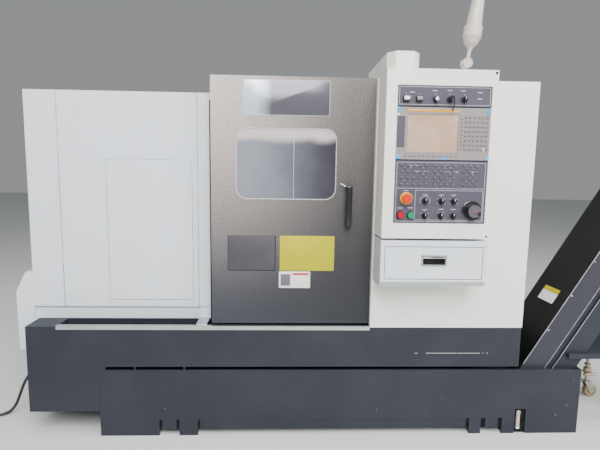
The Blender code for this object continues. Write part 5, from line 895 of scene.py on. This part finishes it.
# covers
accessPlan = {"inset": 0.01, "lift": 0.0006, "radius": 0.0042, "rise": 0.0016, "grow": 0.0018,
              "width": 0.0034, "shares": ((0.5, 0), (1, 0), (0, 0.33), (1, 0.33), (0, 0.67), (1, 0.67),
                                          (0, 1), (0.5, 1), (1, 1))}
low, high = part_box("access_panel")
inset = accessPlan["inset"]
first = screwHead("panelScrew", (low.x + inset, low.y - accessPlan["lift"], low.z + inset),
                  accessPlan["radius"], accessPlan["rise"])
spanX, spanZ = high.x - low.x - 2 * inset, high.z - low.z - 2 * inset
screws = [copyPiece(first, (spanX * shareX, 0, spanZ * shareZ)) for shareX, shareZ in accessPlan["shares"]]
finishGroup("accessScrews", [first] + screws, whiteEnamel)
gap = thinFrame("accessPanelShadow", grown((low.x, low.z, high.x, high.z), accessPlan["grow"]),
                low.y + 0.0002, high.y + 0.0001, accessPlan["width"], 0.01)
finishPiece(gap, seamShadow)
coverSeams = {"front": -0.1924, "back": -0.1916,
              "areas": (("coverSeamLeft", (-1.3227, 0.583, -1.3197, 1.579)),
                        ("coverSeamRight", (-0.6937, 0.583, -0.6907, 1.579)),
                        ("coverFoldLine", (-1.4635, 0.581, -0.638, 0.584)))}
for name, area in coverSeams["areas"]:
    finishPiece(thinPlate(name, area, coverSeams["front"], coverSeams["back"]), seamShadow)
bridge = thinPlate("sillBridge", (-0.69, 0.5242, -0.64, 0.531), -0.2915, -0.1922, 0.001, 0.001)
finishPiece(bridge, brushedSteel)

# drawer gap and the closing plates between base and tank
low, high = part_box("drawer")
gap = thinFrame("drawerGap", (low.x - 0.0026, low.z - 0.0022, high.x + 0.0026, high.z + 0.0026),
                low.y - 0.0004, low.y + 0.0006, 0.0026)
finishPiece(gap, drawerGap)
closing = {"front": -0.3098, "back": -0.3,
           "areas": ((-1.1475, 0.1203, -1.13, 0.3353), (-1.13, 0.3195, -1.098, 0.3353),
                     (-0.97, 0.3195, -0.963, 0.3353), (-0.745, 0.3195, -0.738, 0.3353))}
plates = [thinPlate("closingPlate", area, closing["front"], closing["back"]) for area in closing["areas"]]
finishGroup("closingPlates", plates, darkEnamel)
print("cover screws set")

# conveyor and tank fittings
slope = math.radians(59.4)
alongSlope = Vector((math.cos(slope), 0, math.sin(slope)))
offSlope = Vector((math.sin(slope), 0, -math.cos(slope)))
topPoint = Vector((0.849, 0, 0.319))


def slopeBox(name, along, off, y0, y1, length, thick):  # laid along the conveyor's slope
    middle = topPoint + alongSlope * along + offSlope * off
    clearSelection()
    bpy.ops.mesh.primitive_cube_add(size=1, location=(middle.x, (y0 + y1) / 2, middle.z),
                                    rotation=(0, -slope, 0))
    return settle(name, (length, y1 - y0, thick))


# bright strips along the conveyor's edges: painted highlight, with the edge wear
edgePlan = {"back": -0.2795, "ease": 0.3,  # name, distance below the top, start, end, width, front
            "bars": (("topEdge", 0.0018, 0.02, 1.14, 0.0032, -0.2812),
                     ("flangeEdge", 0.104, 0.02, 1.08, 0.0022, -0.2808),
                     ("sideEdge", 0.1382, 0.02, 1.04, 0.0026, -0.2808))}
edges = []
for name, off, start, end, width, front in edgePlan["bars"]:
    edges.append(slopeBox(name, (start + end) / 2, off, front, edgePlan["back"], end - start, width))
    easePlane(edges[-1], front, min(width, edgePlan["back"] - front) * edgePlan["ease"])
finishGroup("conveyorEdges", edges, edgeWearAndHighlight)
lidScrews = {"off": 0.0085, "reaches": (0.22, 0.415, 0.605, 0.8, 0.99), "y": -0.2811,
             "head": (0.004, 0.0022)}
studs = []
for reach in lidScrews["reaches"]:
    spot = topPoint + offSlope * lidScrews["off"] + alongSlope * reach
    studs.append(screwHead("lidScrew", (spot.x, lidScrews["y"], spot.z), *lidScrews["head"]))
finishGroup("lidScrews", studs, chromeMetal)

labelPlan = {"front": -0.209, "back": -0.087, "film": 0.0006, "thick": 0.00084, "corner": 0.003,
             "plates": (("blankLidLabelLower", 0.337, 0.3896, whiteFoil),
                        ("blankLidLabelUpper", 0.3904, 0.413, yellowFoil))}
for name, start, end, material in labelPlan["plates"]:  # foils lying on the sloping lid
    foil = slopeBox(name, (start + end) / 2, -labelPlan["film"] / 2, labelPlan["front"], labelPlan["back"],
                    end - start, labelPlan["thick"])
    pickEdges(foil, lambda a, b: (b - a).length > 1e-5 and abs((b - a).normalized().dot(offSlope)) > 0.99)
    easeEdges(labelPlan["corner"], 3)
    finishPiece(foil, material)
print("conveyor dressed")

gauge = {"bolts": ((0.8395, -0.3068, 0.032), (0.8395, -0.3068, 0.105)), "boltRadius": 0.0118,
         "boltRise": 0.007, "tubeMiddle": (0.8395, -0.3058, 0.0685), "tubeRadius": 0.0086,
         "tubeLength": 0.059, "tubeEdge": 0.0006}
# near-black sheets of painted shadow set behind the apron's slots and the gauge slot
slotBack = {"front": -0.3052, "back": -0.3038, "low": 0.03, "high": 0.0775,
            "gaugeSlot": (0.8224, 0.004, 0.8733, 0.1215),
            "slots": ((-0.86, -0.847), (-0.781, -0.768), (-0.683, -0.673),
                      (0.586, 0.602), (0.658, 0.679), (0.74, 0.76))}
slotAreas = [slotBack["gaugeSlot"]]
slotAreas += [(x0, slotBack["low"], x1, slotBack["high"]) for x0, x1 in slotBack["slots"]]
backs = [thinPlate("slotBack", area, slotBack["front"], slotBack["back"]) for area in slotAreas]
finishGroup("apronSlotShadows", backs, shadowPocket)
ends = [screwHead("gaugeBolt", place, gauge["boltRadius"], gauge["boltRise"]) for place in gauge["bolts"]]
finishGroup("gaugeBolts", ends, chromeMetal)
tube = startDisc("gaugeTube", gauge["tubeMiddle"], gauge["tubeRadius"], gauge["tubeLength"], "Z", 24)
easeAll(tube, gauge["tubeEdge"], 1)
finishPiece(tube, gaugeGlass)
print("tank gauge fitted")

# caster fittings and one long scratch on the base
casterTrim = {"edge": 0.0008, "casters": (("Front", -0.26, "fork_front"), ("Rear", 0.05, "fork_rear")),
              # name, x and z, radius, length, axis and sides
              "parts": (("stemNut", 1.418, 0.156, 0.02, 0.024, "Z", 6),
                        ("stemWasher", 1.418, 0.1425, 0.024, 0.003, "Z", 28),
                        ("stemLockNut", 1.418, 0.186, 0.0172, 0.01, "Z", 6),
                        ("brakePin", 1.434, 0.125, 0.0082, 0.066, "X", 20))}
for name, y, body in casterTrim["casters"]:
    group = joinPieces("casterNuts" + name, [startDisc(part, (x, y, z), *form)
                                             for part, x, z, *form in casterTrim["parts"]])
    easeAll(group, casterTrim["edge"], 2)
    finishPiece(group, brassTint, body)
scratch = {"front": -0.3103, "back": -0.3098, "low": 0.3998, "high": 0.4012,
           "runs": ((0.323, 0.337), (0.376, 0.415), (0.418, 0.52), (0.523, 0.632), (0.645, 0.65),
                    (0.664, 0.67))}
runs = [thinPlate("baseScratch", (x0, scratch["low"], x1, scratch["high"]), scratch["front"], scratch["back"])
        for x0, x1 in scratch["runs"]]
finishGroup("baseScratches", runs, whiteFoil)
print("caster nuts and scratch added")
